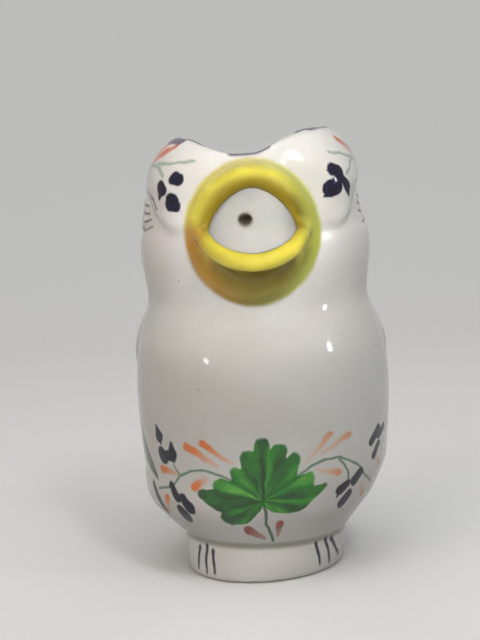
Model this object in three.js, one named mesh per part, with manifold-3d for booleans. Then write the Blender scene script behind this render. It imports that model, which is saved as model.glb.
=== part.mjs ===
// Bird creamer: an open-topped pouring jug in the shape of a young bird with its beak wide open.
// Millimetres, +Z up. The beak looks along -Y and +X is the viewer's right.
// The origin is the centre of the foot's flat underside.
// Each piece of clay is a closed solid of its own, and a slip joint parts it from the next one.

import * as THREE from 'three';
import { mergeVertices } from 'three/addons/utils/BufferGeometryUtils.js';
import Module from 'manifold-3d';

const wasm = await Module();
wasm.setup();

// Heights of the jug
const peakHeight = 140;
const frontDipHeight = 133.4;
const backDipHeight = 131.4;
const neckHeight = 123;
const bellyHeight = 60;
const footHeight = 12.2;
const rimLeanHeight = 0.9;

// Widths across the jug, side to side and front to back
const bellyWidth = 81.2;
const bellyDepth = 79;
const headWidth = 67.6;
const headDepth = 61;
const rimWidth = 45;
const rimDepth = 51;

// Walls and joints
const wall = 3.6;
const slipGap = 0.3;
const bellySetOver = 0.9;
const undersideSetOver = -1.3;
const undersideHeight = 35;

// Swellings and hollows of the head
const browSwell = 2.6;
const browBottom = 108.5;
const browFull = 114.5;
const browInnerAngle = 17;
const browFullAngle = 46;
const browOuterAngle = 76;
const socketDepth = 1.1;
const socketHalfHeight = 8;
const socketHalfAngle = 25;

// Foot
const footRadius = 26.3;
const footBaseRadius = 25.4;
const footOval = 1.6;
const footEdge = 1.6;
const footFloor = 4;
const footCorner = 3;

// Beak
const beakCentreHeight = 109.9;
const beakHalfWidth = 20;
const beakHalfHeight = 21.5;
const cornerHeight = 109.6;
const mouthHalfWidth = 13.2;
const mouthRise = 13.6;
const lipDrop = 6;
const cornerReach = 5.5;
const upperReach = 11.5;
const lowerReach = 14.5;
const beakBite = 2;
const beakSetOver = -0.9;

// Handle, a hollow loop at the back
const handleTopHeight = 110;
const handleBottomHeight = 51;
const handleReach = 71;
const handleWidth = 12;
const handleThickness = 9.6;
const handleBore = 4.4;
const handleRootFlare = 2.4;
const handleSetOver = -2.6;

// Wings, eyes and tail
const wingLength = 46;
const wingBreadth = 25;
const wingRelief = 1.9;
const wingHeight = 69;
const wingAngle = 122;
const wingDroopAngle = 22;
const eyeLength = 15;
const eyeBreadth = 9.5;
const eyeRelief = 1.3;
const eyeHeight = 115.5;
const eyeAngle = 79;
const eyeTiltAngle = 18;
const padEdge = 0.5;
const padBite = 1;
const tailHeight = 29;
const tailReach = 53;
const tailRise = 7;
const tailRootWidth = 18;
const tailTipWidth = 27;
const tailRootThickness = 11;
const tailTipThickness = 4.2;
const tailNotch = 2.6;

// Fineness of the meshes, as counts
const turnSteps = 56;
const bodyRows = 22;
const shoulderRows = 6;
const rimRows = 4;
const innerRows = 17;
const footSteps = 48;
const footEdgeSteps = 4;
const beakTurns = 44;
const handleRows = 20;
const handleSides = 14;
const boreSides = 8;
const padSides = 28;
const padRings = 5;
const tailRows = 9;
const tailSides = 28;
const halvings = 30;

// How square the jug is seen from above, as the power of a rounded outline: 2 is an ellipse
const bellyPower = 2;
const headPower = 2.4;
const rimPower = 2.15;

const bodyBottom = footHeight + slipGap;
const degree = Math.PI / 180;

// Side outline from the foot's crease up to the neck: each height is a share of the rise below or
// above the belly's widest place, and each width a share of the way out to the belly
const lowerHeightShares = [0, 0.045, 0.135, 0.25, 0.42, 0.68, 1];
const lowerWidthShares = [0, 0.14, 0.4, 0.695, 0.865, 0.955, 1];
const upperHeightShares = [0.19, 0.317, 0.444, 0.556, 0.667, 0.762, 0.873, 1];
const upperWidthShares = [0.84, 0.53, 0.19, 0.27, 0.39, 0.33, 0.02, 0];
const shoulderShare = 0.8;
const shoulderEnd = 76 * degree;
const shoulderSlope = 1.3;

function mix(from, to, share) {
  return from + (to - from) * share;
}

function smooth(from, to, value) {
  return THREE.MathUtils.smoothstep(value, from, to);
}

// Stations of the outline as (half width, half depth, height)
function bodyStations() {
  const lower = lowerHeightShares.map((share, index) => new THREE.Vector3(
    mix(footRadius, bellyWidth / 2, lowerWidthShares[index]),
    mix(footRadius, bellyDepth / 2, lowerWidthShares[index]),
    mix(bodyBottom, bellyHeight, share),
  ));
  const upper = upperHeightShares.map((share, index) => new THREE.Vector3(
    mix(headWidth / 2, bellyWidth / 2, upperWidthShares[index]),
    mix(headDepth / 2, bellyDepth / 2, upperWidthShares[index]),
    mix(bellyHeight, neckHeight, share),
  ));
  return lower.concat(upper);
}

const outline = new THREE.CatmullRomCurve3(bodyStations(), false, 'catmullrom', 0.5);

// The share of the climb from the rim's dip to its side peaks: it starts early and steadily on the
// right, and late in a soft S on the left, as a hand-cut rim does
const leftDipShare = 0.19;
const leftPeakShare = 0.96;
const rightDipShare = 0.05;
const rightPeakShare = 0.85;
const dipSoftShare = 0.06;

function rimClimb(across) {
  const left = smooth(leftDipShare, leftPeakShare, -across);
  const start = (across - rightDipShare) / (rightPeakShare - rightDipShare);
  const eased = (start + Math.hypot(start, dipSoftShare)) / 2;
  return left + Math.sin(Math.PI / 2 * Math.min(1, eased));
}

// Height of the saddle-shaped rim: a dip in front, a dip at the back and a peak on each side
function rimHeight(phi) {
  const across = Math.sin(phi);
  const climb = rimClimb(across);
  const dip = mix(backDipHeight, frontDipHeight, (1 + Math.cos(phi)) / 2);
  return mix(dip, peakHeight, climb) + rimLeanHeight * across * climb;
}

// Swelling of the two brows at the front corners of the head
function brow(phi, height) {
  const turn = Math.abs(Math.atan2(Math.sin(phi), Math.cos(phi))) / degree;
  const across = smooth(browInnerAngle, browFullAngle, turn)
    * (1 - smooth(browFullAngle, browOuterAngle, turn));
  const up = smooth(browBottom, browFull, height) * (1 - smooth(neckHeight, peakHeight, height));
  return browSwell * across * up;
}

// Hollow of the eye sockets on the sides of the head
function socket(phi, height) {
  const turn = Math.abs(Math.atan2(Math.sin(phi), Math.cos(phi))) / degree;
  const across = (turn - eyeAngle) / socketHalfAngle;
  const up = (height - eyeHeight) / socketHalfHeight;
  return socketDepth * Math.exp(-((across * across + up * up) ** 2));
}

// How far the jug's middle wanders sideways at a height, fullest at the belly
function setOver(height) {
  const under = THREE.MathUtils.clamp((height - bodyBottom) / (undersideHeight - bodyBottom), 0, 1);
  const belly = smooth(bodyBottom, undersideHeight, height) * (1 - smooth(bellyHeight, neckHeight, height));
  return undersideSetOver * Math.sin(Math.PI * under) + bellySetOver * belly ** 2;
}

// The jug's horizontal section at a height t up the wall: half width, half depth, height, squareness
function sectionAt(phi, t) {
  if (t <= shoulderShare) {
    const station = outline.getPoint(Math.max(0, t) / shoulderShare);
    const squareness = mix(bellyPower, headPower, smooth(bellyHeight, neckHeight, station.z));
    return [station.x, station.y, station.z, squareness];
  }
  const share = (t - shoulderShare) / (1 - shoulderShare);
  const lean = Math.cos(shoulderEnd * share) ** shoulderSlope;
  return [
    mix(rimWidth / 2, headWidth / 2, lean),
    mix(rimDepth / 2, headDepth / 2, lean),
    mix(neckHeight, rimHeight(phi), Math.sin(shoulderEnd * share)),
    mix(headPower, rimPower, share),
  ];
}

// A point of the outer surface before it is lifted: phi runs round from the front, and t climbs
// from the foot's crease to the rim
function skinPoint(phi, t) {
  const [halfWidth, halfDepth, height, squareness] = sectionAt(phi, t);
  const across = Math.abs(Math.sin(phi) / halfWidth) ** squareness;
  const along = Math.abs(Math.cos(phi) / halfDepth) ** squareness;
  const radius = (across + along) ** (-1 / squareness) + brow(phi, height) - socket(phi, height);
  return new THREE.Vector3(
    radius * Math.sin(phi) + setOver(height),
    -radius * Math.cos(phi),
    height,
  );
}

// The climb t at which the wall below the neck reaches a height, found by halving
function climbTo(height) {
  let low = 0;
  let high = shoulderShare;
  for (let round = 0; round < halvings; round += 1) {
    const middle = (low + high) / 2;
    if (sectionAt(0, middle)[2] < height) low = middle;
    else high = middle;
  }
  return (low + high) / 2;
}

const probe = 1e-4;

// The outward direction and the upward direction along the surface
function skinFrame(phi, t) {
  const low = Math.max(0, t - probe);
  const high = Math.min(1, t + probe);
  const round = skinPoint(phi + probe, t).sub(skinPoint(phi - probe, t));
  const up = skinPoint(phi, high).sub(skinPoint(phi, low)).normalize();
  const out = round.cross(up).normalize();
  return { out, up };
}

function liftedPoint(phi, t, lift) {
  return skinPoint(phi, t).addScaledVector(skinFrame(phi, t).out, lift);
}

// Rings of points become a closed surface: its ends are capped, or join each other
function loftGeometry(rings, joined = false) {
  const sides = rings[0].length;
  const positions = rings.flat().flatMap((point) => [point.x, point.y, point.z]);
  const indices = [];
  const spans = joined ? rings.length : rings.length - 1;
  for (let row = 0; row < spans; row += 1) {
    const next = (row + 1) % rings.length;
    for (let side = 0; side < sides; side += 1) {
      const beside = (side + 1) % sides;
      const a = row * sides + side;
      const b = row * sides + beside;
      const c = next * sides + beside;
      const d = next * sides + side;
      indices.push(a, b, c, a, c, d);
    }
  }
  if (!joined) {
    for (const [row, flip] of [[0, true], [rings.length - 1, false]]) {
      const centre = new THREE.Vector3();
      rings[row].forEach((point) => centre.addScaledVector(point, 1 / sides));
      const hub = positions.length / 3;
      positions.push(centre.x, centre.y, centre.z);
      for (let side = 0; side < sides; side += 1) {
        const a = row * sides + side;
        const b = row * sides + (side + 1) % sides;
        indices.push(...(flip ? [hub, b, a] : [hub, a, b]));
      }
    }
  }
  const geometry = new THREE.BufferGeometry();
  geometry.setAttribute('position', new THREE.Float32BufferAttribute(positions, 3));
  geometry.setIndex(indices);
  return facingOut(geometry);
}

// Six times the enclosed volume, which is negative when the faces point inwards
function signedVolume(geometry) {
  const place = geometry.getAttribute('position');
  const index = geometry.getIndex();
  const corner = [new THREE.Vector3(), new THREE.Vector3(), new THREE.Vector3()];
  let total = 0;
  for (let face = 0; face < index.count; face += 3) {
    corner.forEach((point, offset) => point.fromBufferAttribute(place, index.getX(face + offset)));
    total += corner[0].dot(corner[1].clone().cross(corner[2]));
  }
  return total;
}

function facingOut(geometry) {
  if (signedVolume(geometry) < 0) {
    const turned = Array.from(geometry.getIndex().array);
    for (let face = 0; face < turned.length; face += 3) {
      [turned[face + 1], turned[face + 2]] = [turned[face + 2], turned[face + 1]];
    }
    geometry.setIndex(turned);
  }
  return geometry;
}

function solidOf(geometry) {
  const bare = geometry.clone();
  bare.deleteAttribute('normal');
  bare.deleteAttribute('uv');
  const merged = facingOut(mergeVertices(bare));
  return new wasm.Manifold(new wasm.Mesh({
    numProp: 3,
    vertProperties: new Float32Array(merged.getAttribute('position').array),
    triVerts: new Uint32Array(merged.getIndex().array),
  }));
}

function geometryOf(solid) {
  const mesh = solid.getMesh();
  const geometry = new THREE.BufferGeometry();
  geometry.setAttribute('position', new THREE.Float32BufferAttribute(mesh.vertProperties, 3));
  geometry.setIndex(Array.from(mesh.triVerts));
  return geometry;
}

const jug = new THREE.Group();

// White tin glaze, and the yellow glaze of the beak
const glazes = {
  white: { color: 0xe6e2dc, roughness: 0.12, metalness: 0 },
  yellow: { color: 0xd2c13a, roughness: 0.14, metalness: 0 },
};

function addPiece(name, geometry, glaze) {
  const faceted = geometry.toNonIndexed();
  faceted.computeVertexNormals();
  const piece = new THREE.Mesh(faceted, new THREE.MeshStandardMaterial(glazes[glaze]));
  piece.name = name;
  jug.add(piece);
}

// One meridian of the jug's wall: up the outside, over the rounded rim and down the inside
function wallSection(phi) {
  const section = [];
  for (let row = 0; row <= bodyRows; row += 1) {
    section.push(skinPoint(phi, shoulderShare * row / bodyRows));
  }
  for (let row = 1; row <= shoulderRows; row += 1) {
    section.push(skinPoint(phi, mix(shoulderShare, 1, row / shoulderRows)));
  }
  const edge = skinFrame(phi, 1);
  const middle = liftedPoint(phi, 1, -wall / 2);
  for (let row = 1; row < rimRows; row += 1) {
    const turn = Math.PI * row / rimRows;
    section.push(middle.clone()
      .addScaledVector(edge.out, Math.cos(turn) * wall / 2)
      .addScaledVector(edge.up, Math.sin(turn) * wall / 2));
  }
  for (let row = 0; row < innerRows; row += 1) {
    section.push(liftedPoint(phi, 1 - row / innerRows, -wall));
  }
  const outside = skinPoint(phi, 0);
  const inset = 1 - wall / Math.hypot(outside.x, outside.y);
  section.push(new THREE.Vector3(outside.x * inset, outside.y * inset, bodyBottom));
  return section;
}

// The outer shape of the jug as a full lump, grown by the slip joint, which trims what sits on it
function bodyLump(growth) {
  const rings = [];
  const rows = bodyRows + shoulderRows;
  for (let row = 0; row <= rows; row += 1) {
    const t = row <= bodyRows
      ? shoulderShare * row / bodyRows
      : mix(shoulderShare, 1, (row - bodyRows) / shoulderRows);
    const ring = [];
    for (let step = 0; step < turnSteps; step += 1) {
      ring.push(liftedPoint(2 * Math.PI * step / turnSteps, t, growth));
    }
    rings.push(ring);
  }
  return solidOf(loftGeometry(rings));
}

// The mouth's outline: a high arch above the corners and a shallow sag below them
const mouthPointedness = 1.21;

function mouthEdge(theta) {
  const along = Math.cos(theta);
  const up = Math.sin(theta);
  const rise = up > 0 ? mouthRise : lipDrop;
  return new THREE.Vector2(
    mouthHalfWidth * Math.sign(along) * Math.abs(along) ** mouthPointedness,
    cornerHeight + rise * Math.sign(up) * Math.abs(up) ** mouthPointedness,
  );
}

function beakEdge(theta) {
  return new THREE.Vector2(
    beakHalfWidth * Math.cos(theta),
    beakCentreHeight + beakHalfHeight * Math.sin(theta),
  );
}

// Depth of the head's or throat's front surface at a place across and up
function frontDepth(x, height) {
  const [halfWidth, halfDepth, , squareness] = sectionAt(0, climbTo(Math.min(height, neckHeight)));
  const plain = halfDepth * (1 - Math.abs(x / halfWidth) ** squareness) ** (1 / squareness);
  const phi = Math.atan2(x, plain);
  return plain + brow(phi, height) * Math.cos(phi);
}

// How far each half of the beak stands out, from the mouth's edge to its own outer edge
const acrossShares = [0, 0.05, 0.13, 0.24, 0.36, 0.5, 0.64, 0.78, 0.9, 1];
const upperReachShares = [0.5, 0.74, 0.93, 1, 0.96, 0.84, 0.66, 0.43, 0.2, -0.08];
const lowerReachShares = [0.8, 0.96, 1, 0.9, 0.66, 0.48, 0.37, 0.26, 0.14, -0.04];

const cornerBlendShare = 0.3;

function beakSection(theta) {
  const inner = mouthEdge(theta);
  const outer = beakEdge(theta);
  const up = Math.sin(theta);
  const upper = smooth(-cornerBlendShare, cornerBlendShare, up);
  const reach = mix(cornerReach, up > 0 ? upperReach : lowerReach, up * up);
  const seat = frontDepth(outer.x, outer.y);
  const section = acrossShares.map((share, index) => {
    const place = inner.clone().lerp(outer, share);
    const stand = reach * mix(lowerReachShares[index], upperReachShares[index], upper);
    return new THREE.Vector3(place.x, -(seat + stand), place.y);
  });
  const depth = -(seat - wall - beakBite);
  section.push(new THREE.Vector3(outer.x, depth, outer.y));
  section.push(new THREE.Vector3(inner.x, depth, inner.y));
  section.forEach((point) => point.setX(point.x + beakSetOver));
  return section;
}

function evenTurns(count, section) {
  return Array.from({ length: count }, (unused, step) => section(2 * Math.PI * step / count));
}

// The hole through the head's front wall, of the same outline as the mouth
function mouthPlug() {
  const outlinePoints = evenTurns(beakTurns, mouthEdge);
  const ends = [-headDepth, 0].map((y) => outlinePoints.map((point) => new THREE.Vector3(
    point.x + beakSetOver,
    y,
    point.y,
  )));
  return solidOf(loftGeometry(ends));
}

// The beak's two halves, parted at the corners of the mouth
function halfSpace(above) {
  const size = 2 * peakHeight;
  const box = new THREE.BoxGeometry(size, size, size);
  const shift = (size + slipGap) / 2;
  box.translate(0, 0, cornerHeight + (above ? shift : -shift));
  return solidOf(box);
}

// The handle's centre line, from inside the head's back wall round to inside the belly's
function handleLine() {
  const headBack = headDepth / 2;
  const bellyBack = bellyDepth / 2;
  const span = handleTopHeight - handleBottomHeight;
  const outShares = [-0.16, 0.22, 0.66, 0.95, 1, 0.83, 0.52, 0.16, -0.1];
  const downShares = [0.02, -0.035, -0.02, 0.13, 0.4, 0.68, 0.86, 0.96, 1.01];
  return new THREE.CatmullRomCurve3(outShares.map((share, index) => {
    const down = downShares[index];
    const root = mix(headBack, bellyBack - wall / 2, Math.max(0, Math.min(1, down)));
    return new THREE.Vector3(
      mix(handleSetOver, 0, Math.max(0, down)),
      mix(root, handleReach - handleThickness / 2, share),
      handleTopHeight - span * down,
    );
  }), false, 'catmullrom', 0.5);
}

// A tube along the handle's line, whose two half sizes follow the share of the way along
function handleTube(sides, halfSizes) {
  const line = handleLine();
  const rings = [];
  for (let row = 0; row <= handleRows; row += 1) {
    const share = row / handleRows;
    const centre = line.getPoint(share);
    const along = line.getTangent(share);
    const side = new THREE.Vector3(1, 0, 0).addScaledVector(along, -along.x).normalize();
    const out = along.clone().cross(side).normalize();
    const [halfWidth, halfThickness] = halfSizes(share);
    rings.push(evenTurns(sides, (turn) => centre.clone()
      .addScaledVector(side, Math.cos(turn) * halfWidth)
      .addScaledVector(out, Math.sin(turn) * halfThickness)));
  }
  return solidOf(loftGeometry(rings));
}

const rootStartShare = 0.04;
const rootEndShare = 0.3;

function handleOuterSizes(share) {
  const flare = handleRootFlare * (1 - smooth(rootStartShare, rootEndShare, Math.min(share, 1 - share)));
  return [handleWidth / 2 + flare, handleThickness / 2 + flare];
}

function handleBoreSizes() {
  return [handleBore / 2, handleBore / 2];
}

// A low pad of clay on the jug's side. Its outline is given in millimetres round and up the
// surface from its middle. It domes up to its relief, and the grown body trims its underside
function padSolid(side, azimuth, height, tilt, relief, outlinePoint) {
  const middle = skinPoint(azimuth * degree, climbTo(height));
  const radius = Math.hypot(middle.x, middle.y);
  function placed(along, up, lift) {
    const round = along * Math.cos(tilt * degree) + up * Math.sin(tilt * degree);
    const rise = up * Math.cos(tilt * degree) - along * Math.sin(tilt * degree);
    const phi = azimuth * degree + round / radius;
    return liftedPoint(side * phi, climbTo(height + rise), lift);
  }
  function ring(share, lift) {
    return evenTurns(padSides, (turn) => {
      const edge = outlinePoint(turn);
      return placed(edge.x * share, edge.y * share, lift);
    });
  }
  const rings = [];
  for (let step = 1; step <= padRings; step += 1) {
    const share = step / padRings;
    rings.push(ring(share, slipGap + padEdge + (relief - padEdge) * (1 - share ** 3)));
  }
  for (let step = padRings; step >= 1; step -= 1) rings.push(ring(step / padRings, -padBite));
  return geometryOf(solidOf(loftGeometry(rings)).subtract(lump));
}

// Wing outline: a round shoulder in front that draws out to feather tips behind
const featherShare = 0.05;
const wingTaperShare = 0.55;
const taperStartShare = -0.2;
const feathers = 9;

function wingOutline(turn) {
  const along = Math.cos(turn);
  const behind = smooth(taperStartShare, 1, along);
  const feather = 1 + featherShare * Math.cos(feathers * turn) * behind;
  const taper = mix(1, wingTaperShare, behind);
  return new THREE.Vector2(
    wingLength / 2 * along * feather,
    wingBreadth / 2 * Math.sin(turn) * taper * feather,
  );
}

// Eye outline: an almond with a point at each end
const almondPower = 0.5;

function eyeOutline(turn) {
  const along = Math.cos(turn);
  const up = Math.sin(turn);
  return new THREE.Vector2(eyeLength / 2 * along, eyeBreadth / 2 * up * Math.abs(up) ** almondPower);
}

const tailTipShare = 0.7;
const tailRoundShare = 0.8;
const tailFeathers = 3;

// Tail: a short fan that widens and thins to three rounded feather tips
function tailSolid() {
  const rootReach = bellyDepth / 2 - wall;
  const rings = [];
  for (let row = 0; row <= tailRows; row += 1) {
    const share = row / tailRows;
    const last = Math.max(0, (share - tailTipShare) / (1 - tailTipShare));
    const rounding = Math.sqrt(1 - tailRoundShare * last ** 2);
    const halfWidth = mix(tailRootWidth, tailTipWidth, smooth(0, 1, share)) / 2;
    const halfThickness = mix(tailRootThickness, tailTipThickness, share) / 2 * rounding;
    rings.push(evenTurns(tailSides, (turn) => {
      const across = Math.cos(turn);
      const feather = 1 - Math.abs(Math.cos(tailFeathers * Math.PI / 2 * across));
      const trim = tailNotch * share ** 2 * (feather + across * across);
      return new THREE.Vector3(
        across * halfWidth,
        mix(rootReach, tailReach, share) - trim,
        tailHeight + tailRise * share + Math.sin(turn) * halfThickness,
      );
    }));
  }
  return solidOf(loftGeometry(rings));
}

const footWaistShare = 0.8;

// Foot: a low pedestal, hollow above its floor, whose flat underside stands at height zero. Its
// base is a slight oval turned an eighth of the way round, and its top is round
function footGeometry() {
  const profile = [];
  for (let step = 0; step <= footEdgeSteps; step += 1) {
    const turn = step / footEdgeSteps * Math.PI / 2;
    profile.push([
      footBaseRadius - footEdge + footEdge * Math.sin(turn),
      footEdge - footEdge * Math.cos(turn),
    ]);
  }
  profile.push([mix(footBaseRadius, footRadius, footWaistShare), footHeight / 2]);
  profile.push([footRadius, footHeight]);
  const bore = footRadius - wall;
  profile.push([bore, footHeight]);
  for (let step = 0; step <= footEdgeSteps; step += 1) {
    const turn = step / footEdgeSteps * Math.PI / 2;
    profile.push([
      bore - footCorner + footCorner * Math.cos(turn),
      footFloor + footCorner - footCorner * Math.sin(turn),
    ]);
  }
  const rings = profile.map(([radius, height]) => evenTurns(footSteps, (phi) => {
    const oval = footOval * Math.cos(2 * (phi + Math.PI / 4)) * (1 - height / footHeight);
    const reach = radius + oval;
    return new THREE.Vector3(reach * Math.sin(phi), -reach * Math.cos(phi), height);
  }));
  return loftGeometry(rings);
}

const lump = bodyLump(slipGap);
const bore = handleTube(boreSides, handleBoreSizes);

// Body, with the mouth and the handle's two drain holes cut through its wall
const shell = solidOf(loftGeometry(evenTurns(turnSteps, wallSection), true));
addPiece('body_shell', geometryOf(shell.subtract(mouthPlug()).subtract(bore)), 'white');
addPiece('foot', footGeometry(), 'white');

// Beak
const beak = solidOf(loftGeometry(evenTurns(beakTurns, beakSection), true)).subtract(lump);
addPiece('upper_beak', geometryOf(beak.intersect(halfSpace(true))), 'yellow');
addPiece('lower_beak', geometryOf(beak.intersect(halfSpace(false))), 'yellow');

// Handle and tail
const handle = handleTube(handleSides, handleOuterSizes).subtract(bore).subtract(lump);
addPiece('handle', geometryOf(handle), 'white');
addPiece('tail', geometryOf(tailSolid().subtract(lump)), 'white');

// Wings and eyes, one on each side
for (const [name, side] of [['right', 1], ['left', -1]]) {
  const wing = padSolid(side, wingAngle, wingHeight, wingDroopAngle, wingRelief, wingOutline);
  const eye = padSolid(side, eyeAngle, eyeHeight, eyeTiltAngle, eyeRelief, eyeOutline);
  addPiece(`wing_${name}`, wing, 'white');
  addPiece(`eye_${name}`, eye, 'white');
}

export default jug;
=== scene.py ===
"""Looks of the bird creamer: white tin glaze painted by hand, with a yellow beak."""

import math

import bmesh
import bpy
import numpy as np
from mathutils import Matrix, Vector


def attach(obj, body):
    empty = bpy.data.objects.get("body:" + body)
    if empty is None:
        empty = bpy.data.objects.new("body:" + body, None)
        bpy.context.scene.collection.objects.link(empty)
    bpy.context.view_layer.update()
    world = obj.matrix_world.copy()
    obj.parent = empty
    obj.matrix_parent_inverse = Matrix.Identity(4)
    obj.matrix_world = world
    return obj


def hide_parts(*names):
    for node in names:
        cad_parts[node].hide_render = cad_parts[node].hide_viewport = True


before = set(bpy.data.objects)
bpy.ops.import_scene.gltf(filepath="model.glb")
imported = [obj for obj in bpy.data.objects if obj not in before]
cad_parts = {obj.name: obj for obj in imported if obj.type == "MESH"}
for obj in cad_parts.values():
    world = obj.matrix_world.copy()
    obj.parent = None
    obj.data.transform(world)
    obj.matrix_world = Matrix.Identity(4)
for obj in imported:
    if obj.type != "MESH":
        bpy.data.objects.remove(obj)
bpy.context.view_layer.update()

MM = 0.001
DEGREE = math.pi / 180

# Sizes of the jug in millimetres, as in the CAD source but for the brows' rounding, the eye hollows,
# the roll of the lip and the feathers, which slip and glaze make. The beak looks along -Y
PEAK_HEIGHT, FRONT_DIP_HEIGHT, BACK_DIP_HEIGHT = 139.95, 133.4, 131.4
NECK_HEIGHT, BELLY_HEIGHT, FOOT_HEIGHT, RIM_LEAN = 123, 60, 12.2, 0.9
BELLY_WIDTH, BELLY_DEPTH, HEAD_WIDTH, HEAD_DEPTH = 81.2, 79, 67.6, 61
RIM_WIDTH, RIM_DEPTH, WALL = 45, 51, 3.6
BELLY_SET_OVER, UNDERSIDE_SET_OVER, UNDERSIDE_HEIGHT = 0.9, -1.3, 35
BROW_SWELL, BROW_BOTTOM, BROW_FULL = 3.2, 108.8, 113.4
BROW_ANGLES, BROW_ROUNDING, ROUNDING_START = (17, 46, 76), 8, 40
SOCKET_DEPTH, SOCKET_HALF_ANGLE = 1.1, 25
LEFT_SOCKET_SHARE, LEFT_SOCKET_HALF_HEIGHT = 0.2, 8
RIGHT_SOCKET_SHARE, RIGHT_SOCKET_HALF_HEIGHT, RIGHT_SOCKET_RISE = 1.45, 6.5, 1.5
FOOT_RADIUS, FOOT_BASE_RADIUS, FOOT_OVAL, FOOT_EDGE = 26.3, 25.4, 1.6, 1.6
FOOT_FLOOR, FOOT_CORNER = 4, 3
BEAK_HEIGHT, BEAK_HALF_WIDTH, BEAK_HALF_HEIGHT, BEAK_SET_OVER = 109.9, 20, 21.5, -0.9
CORNER_HEIGHT, MOUTH_HALF_WIDTH, MOUTH_RISE, LIP_DROP = 109.6, 13.2, 13.6, 6
CORNER_REACH, UPPER_REACH, LOWER_REACH, BEAK_BITE = 5.5, 11.5, 14.5, 2
LIP_SET_OVER, LIP_HALF_WIDTH, LIP_CORNER_HEIGHT, LIP_SAG = -0.9, 15.0, 110.6, 8.5
LIP_CORNER_STAND, LIP_STAND, LIP_THICKNESS = 3.2, 9.9, 5.6
HANDLE_TOP, HANDLE_BOTTOM, HANDLE_REACH = 110, 51, 70.8
HANDLE_WIDTH, HANDLE_THICKNESS, HANDLE_BORE, HANDLE_FLARE = 12, 9.6, 4.4, 2.4
HANDLE_SET_OVER = -2.6
WING_LENGTH, WING_BREADTH, WING_RELIEF, WING_FRONT_EDGE = 46, 25, 1.9, 0.95
FEATHER_STEP, FEATHER_GROOVE, FEATHER_ROOM = 0.8, 0.6, 0.15
FEATHER_ROWS, QUILLS_ROUND, QUILL_LEAD = 3.1, 34, 0.28  # along the wing, round its fan, lead of a tip
WING_TIP_SHARE, SCALLOP_SHARE, SCALLOPS_ROUND = 0.55, 0.05, 9
WING_HEIGHT, WING_ANGLE, WING_TILT = 69, 122, 22
EYE_LENGTH, EYE_BREADTH, EYE_RELIEF = 15, 9.5, 1.3
EYE_HEIGHT, EYE_ANGLE, EYE_TILT, PAD_EDGE = 115.5, 79, 18, 0.5
TAIL_HEIGHT, TAIL_REACH, TAIL_RISE, TAIL_NOTCH = 29, 53, 7, 2.6
TAIL_ROOT_WIDTH, TAIL_TIP_WIDTH, TAIL_ROOT_THICKNESS, TAIL_TIP_THICKNESS = 18, 27, 11, 4.2
CREASE = FOOT_HEIGHT + 0.15

LOWER_HEIGHT_SHARES = (0, 0.045, 0.135, 0.25, 0.42, 0.68, 1)
LOWER_WIDTH_SHARES = (0, 0.14, 0.4, 0.695, 0.865, 0.955, 1)
UPPER_HEIGHT_SHARES = (0.19, 0.317, 0.444, 0.556, 0.667, 0.762, 0.873, 1)
UPPER_WIDTH_SHARES = (0.84, 0.53, 0.19, 0.27, 0.39, 0.33, 0.02, 0)
SHOULDER, SHOULDER_END, SHOULDER_SLOPE = 0.8, 76 * DEGREE, 1.3

CLAY_GRAIN = 0.6  # fineness of the fused clay, which the slip and glaze then round off
SLIP_PASSES, MOUTH_PASSES, LIP_END_PASSES, LIP_END_REACH = 9, 20, 45, 5.5
KEPT_SHARE = 0.4  # of the faces, once the clay is smooth
INLAY = 1.0  # how deep each applied piece is keyed into the wall behind it
BLOCK_GROWTH = 1.6  # how much wider than the piece the space is that parts it from the clay


def mix(low, high, share):
    return low + (high - low) * share


def smooth(low, high, value):
    share = np.clip((value - low) / (high - low), 0, 1)
    return share * share * (3 - 2 * share)


def spline(points, share):
    """Point of a Catmull-Rom curve through the points, for each share of the way along."""
    points = np.asarray(points, float)
    padded = np.vstack([2 * points[0] - points[1], points, 2 * points[-1] - points[-2]])
    place = np.clip(share, 0, 1) * (len(points) - 1)
    first = np.minimum(place.astype(int), len(points) - 2)
    w = (place - first)[..., None]
    p0, p1, p2, p3 = (padded[first + step] for step in range(4))
    out, back = (p2 - p0) / 2, (p3 - p1) / 2
    return (p1 + out * w + (3 * (p2 - p1) - 2 * out - back) * w**2
            + (2 * (p1 - p2) + out + back) * w**3)


def stations():
    """Side outline from the foot's crease to the neck: half width, half depth, height."""
    low = [(mix(FOOT_RADIUS, BELLY_WIDTH / 2, wide), mix(FOOT_RADIUS, BELLY_DEPTH / 2, wide),
            mix(FOOT_HEIGHT + 0.3, BELLY_HEIGHT, up))
           for up, wide in zip(LOWER_HEIGHT_SHARES, LOWER_WIDTH_SHARES)]
    high = [(mix(HEAD_WIDTH / 2, BELLY_WIDTH / 2, wide), mix(HEAD_DEPTH / 2, BELLY_DEPTH / 2, wide),
             mix(BELLY_HEIGHT, NECK_HEIGHT, up))
            for up, wide in zip(UPPER_HEIGHT_SHARES, UPPER_WIDTH_SHARES)]
    return low + high


STATIONS = stations()


def rim_height(phi):
    """Height of the saddle-shaped rim: a late S on the left, an early climb on the right."""
    across = np.sin(phi)
    start = (across - 0.05) / 0.8
    eased = (start + np.hypot(start, 0.06)) / 2
    climb = smooth(0.19, 0.96, -across) + np.sin(math.pi / 2 * np.minimum(1, eased))
    dip = mix(BACK_DIP_HEIGHT, FRONT_DIP_HEIGHT, (1 + np.cos(phi)) / 2)
    return mix(dip, PEAK_HEIGHT, climb) + RIM_LEAN * across * climb


def turn_from_front(phi):
    return np.abs(np.arctan2(np.sin(phi), np.cos(phi))) / DEGREE


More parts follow.
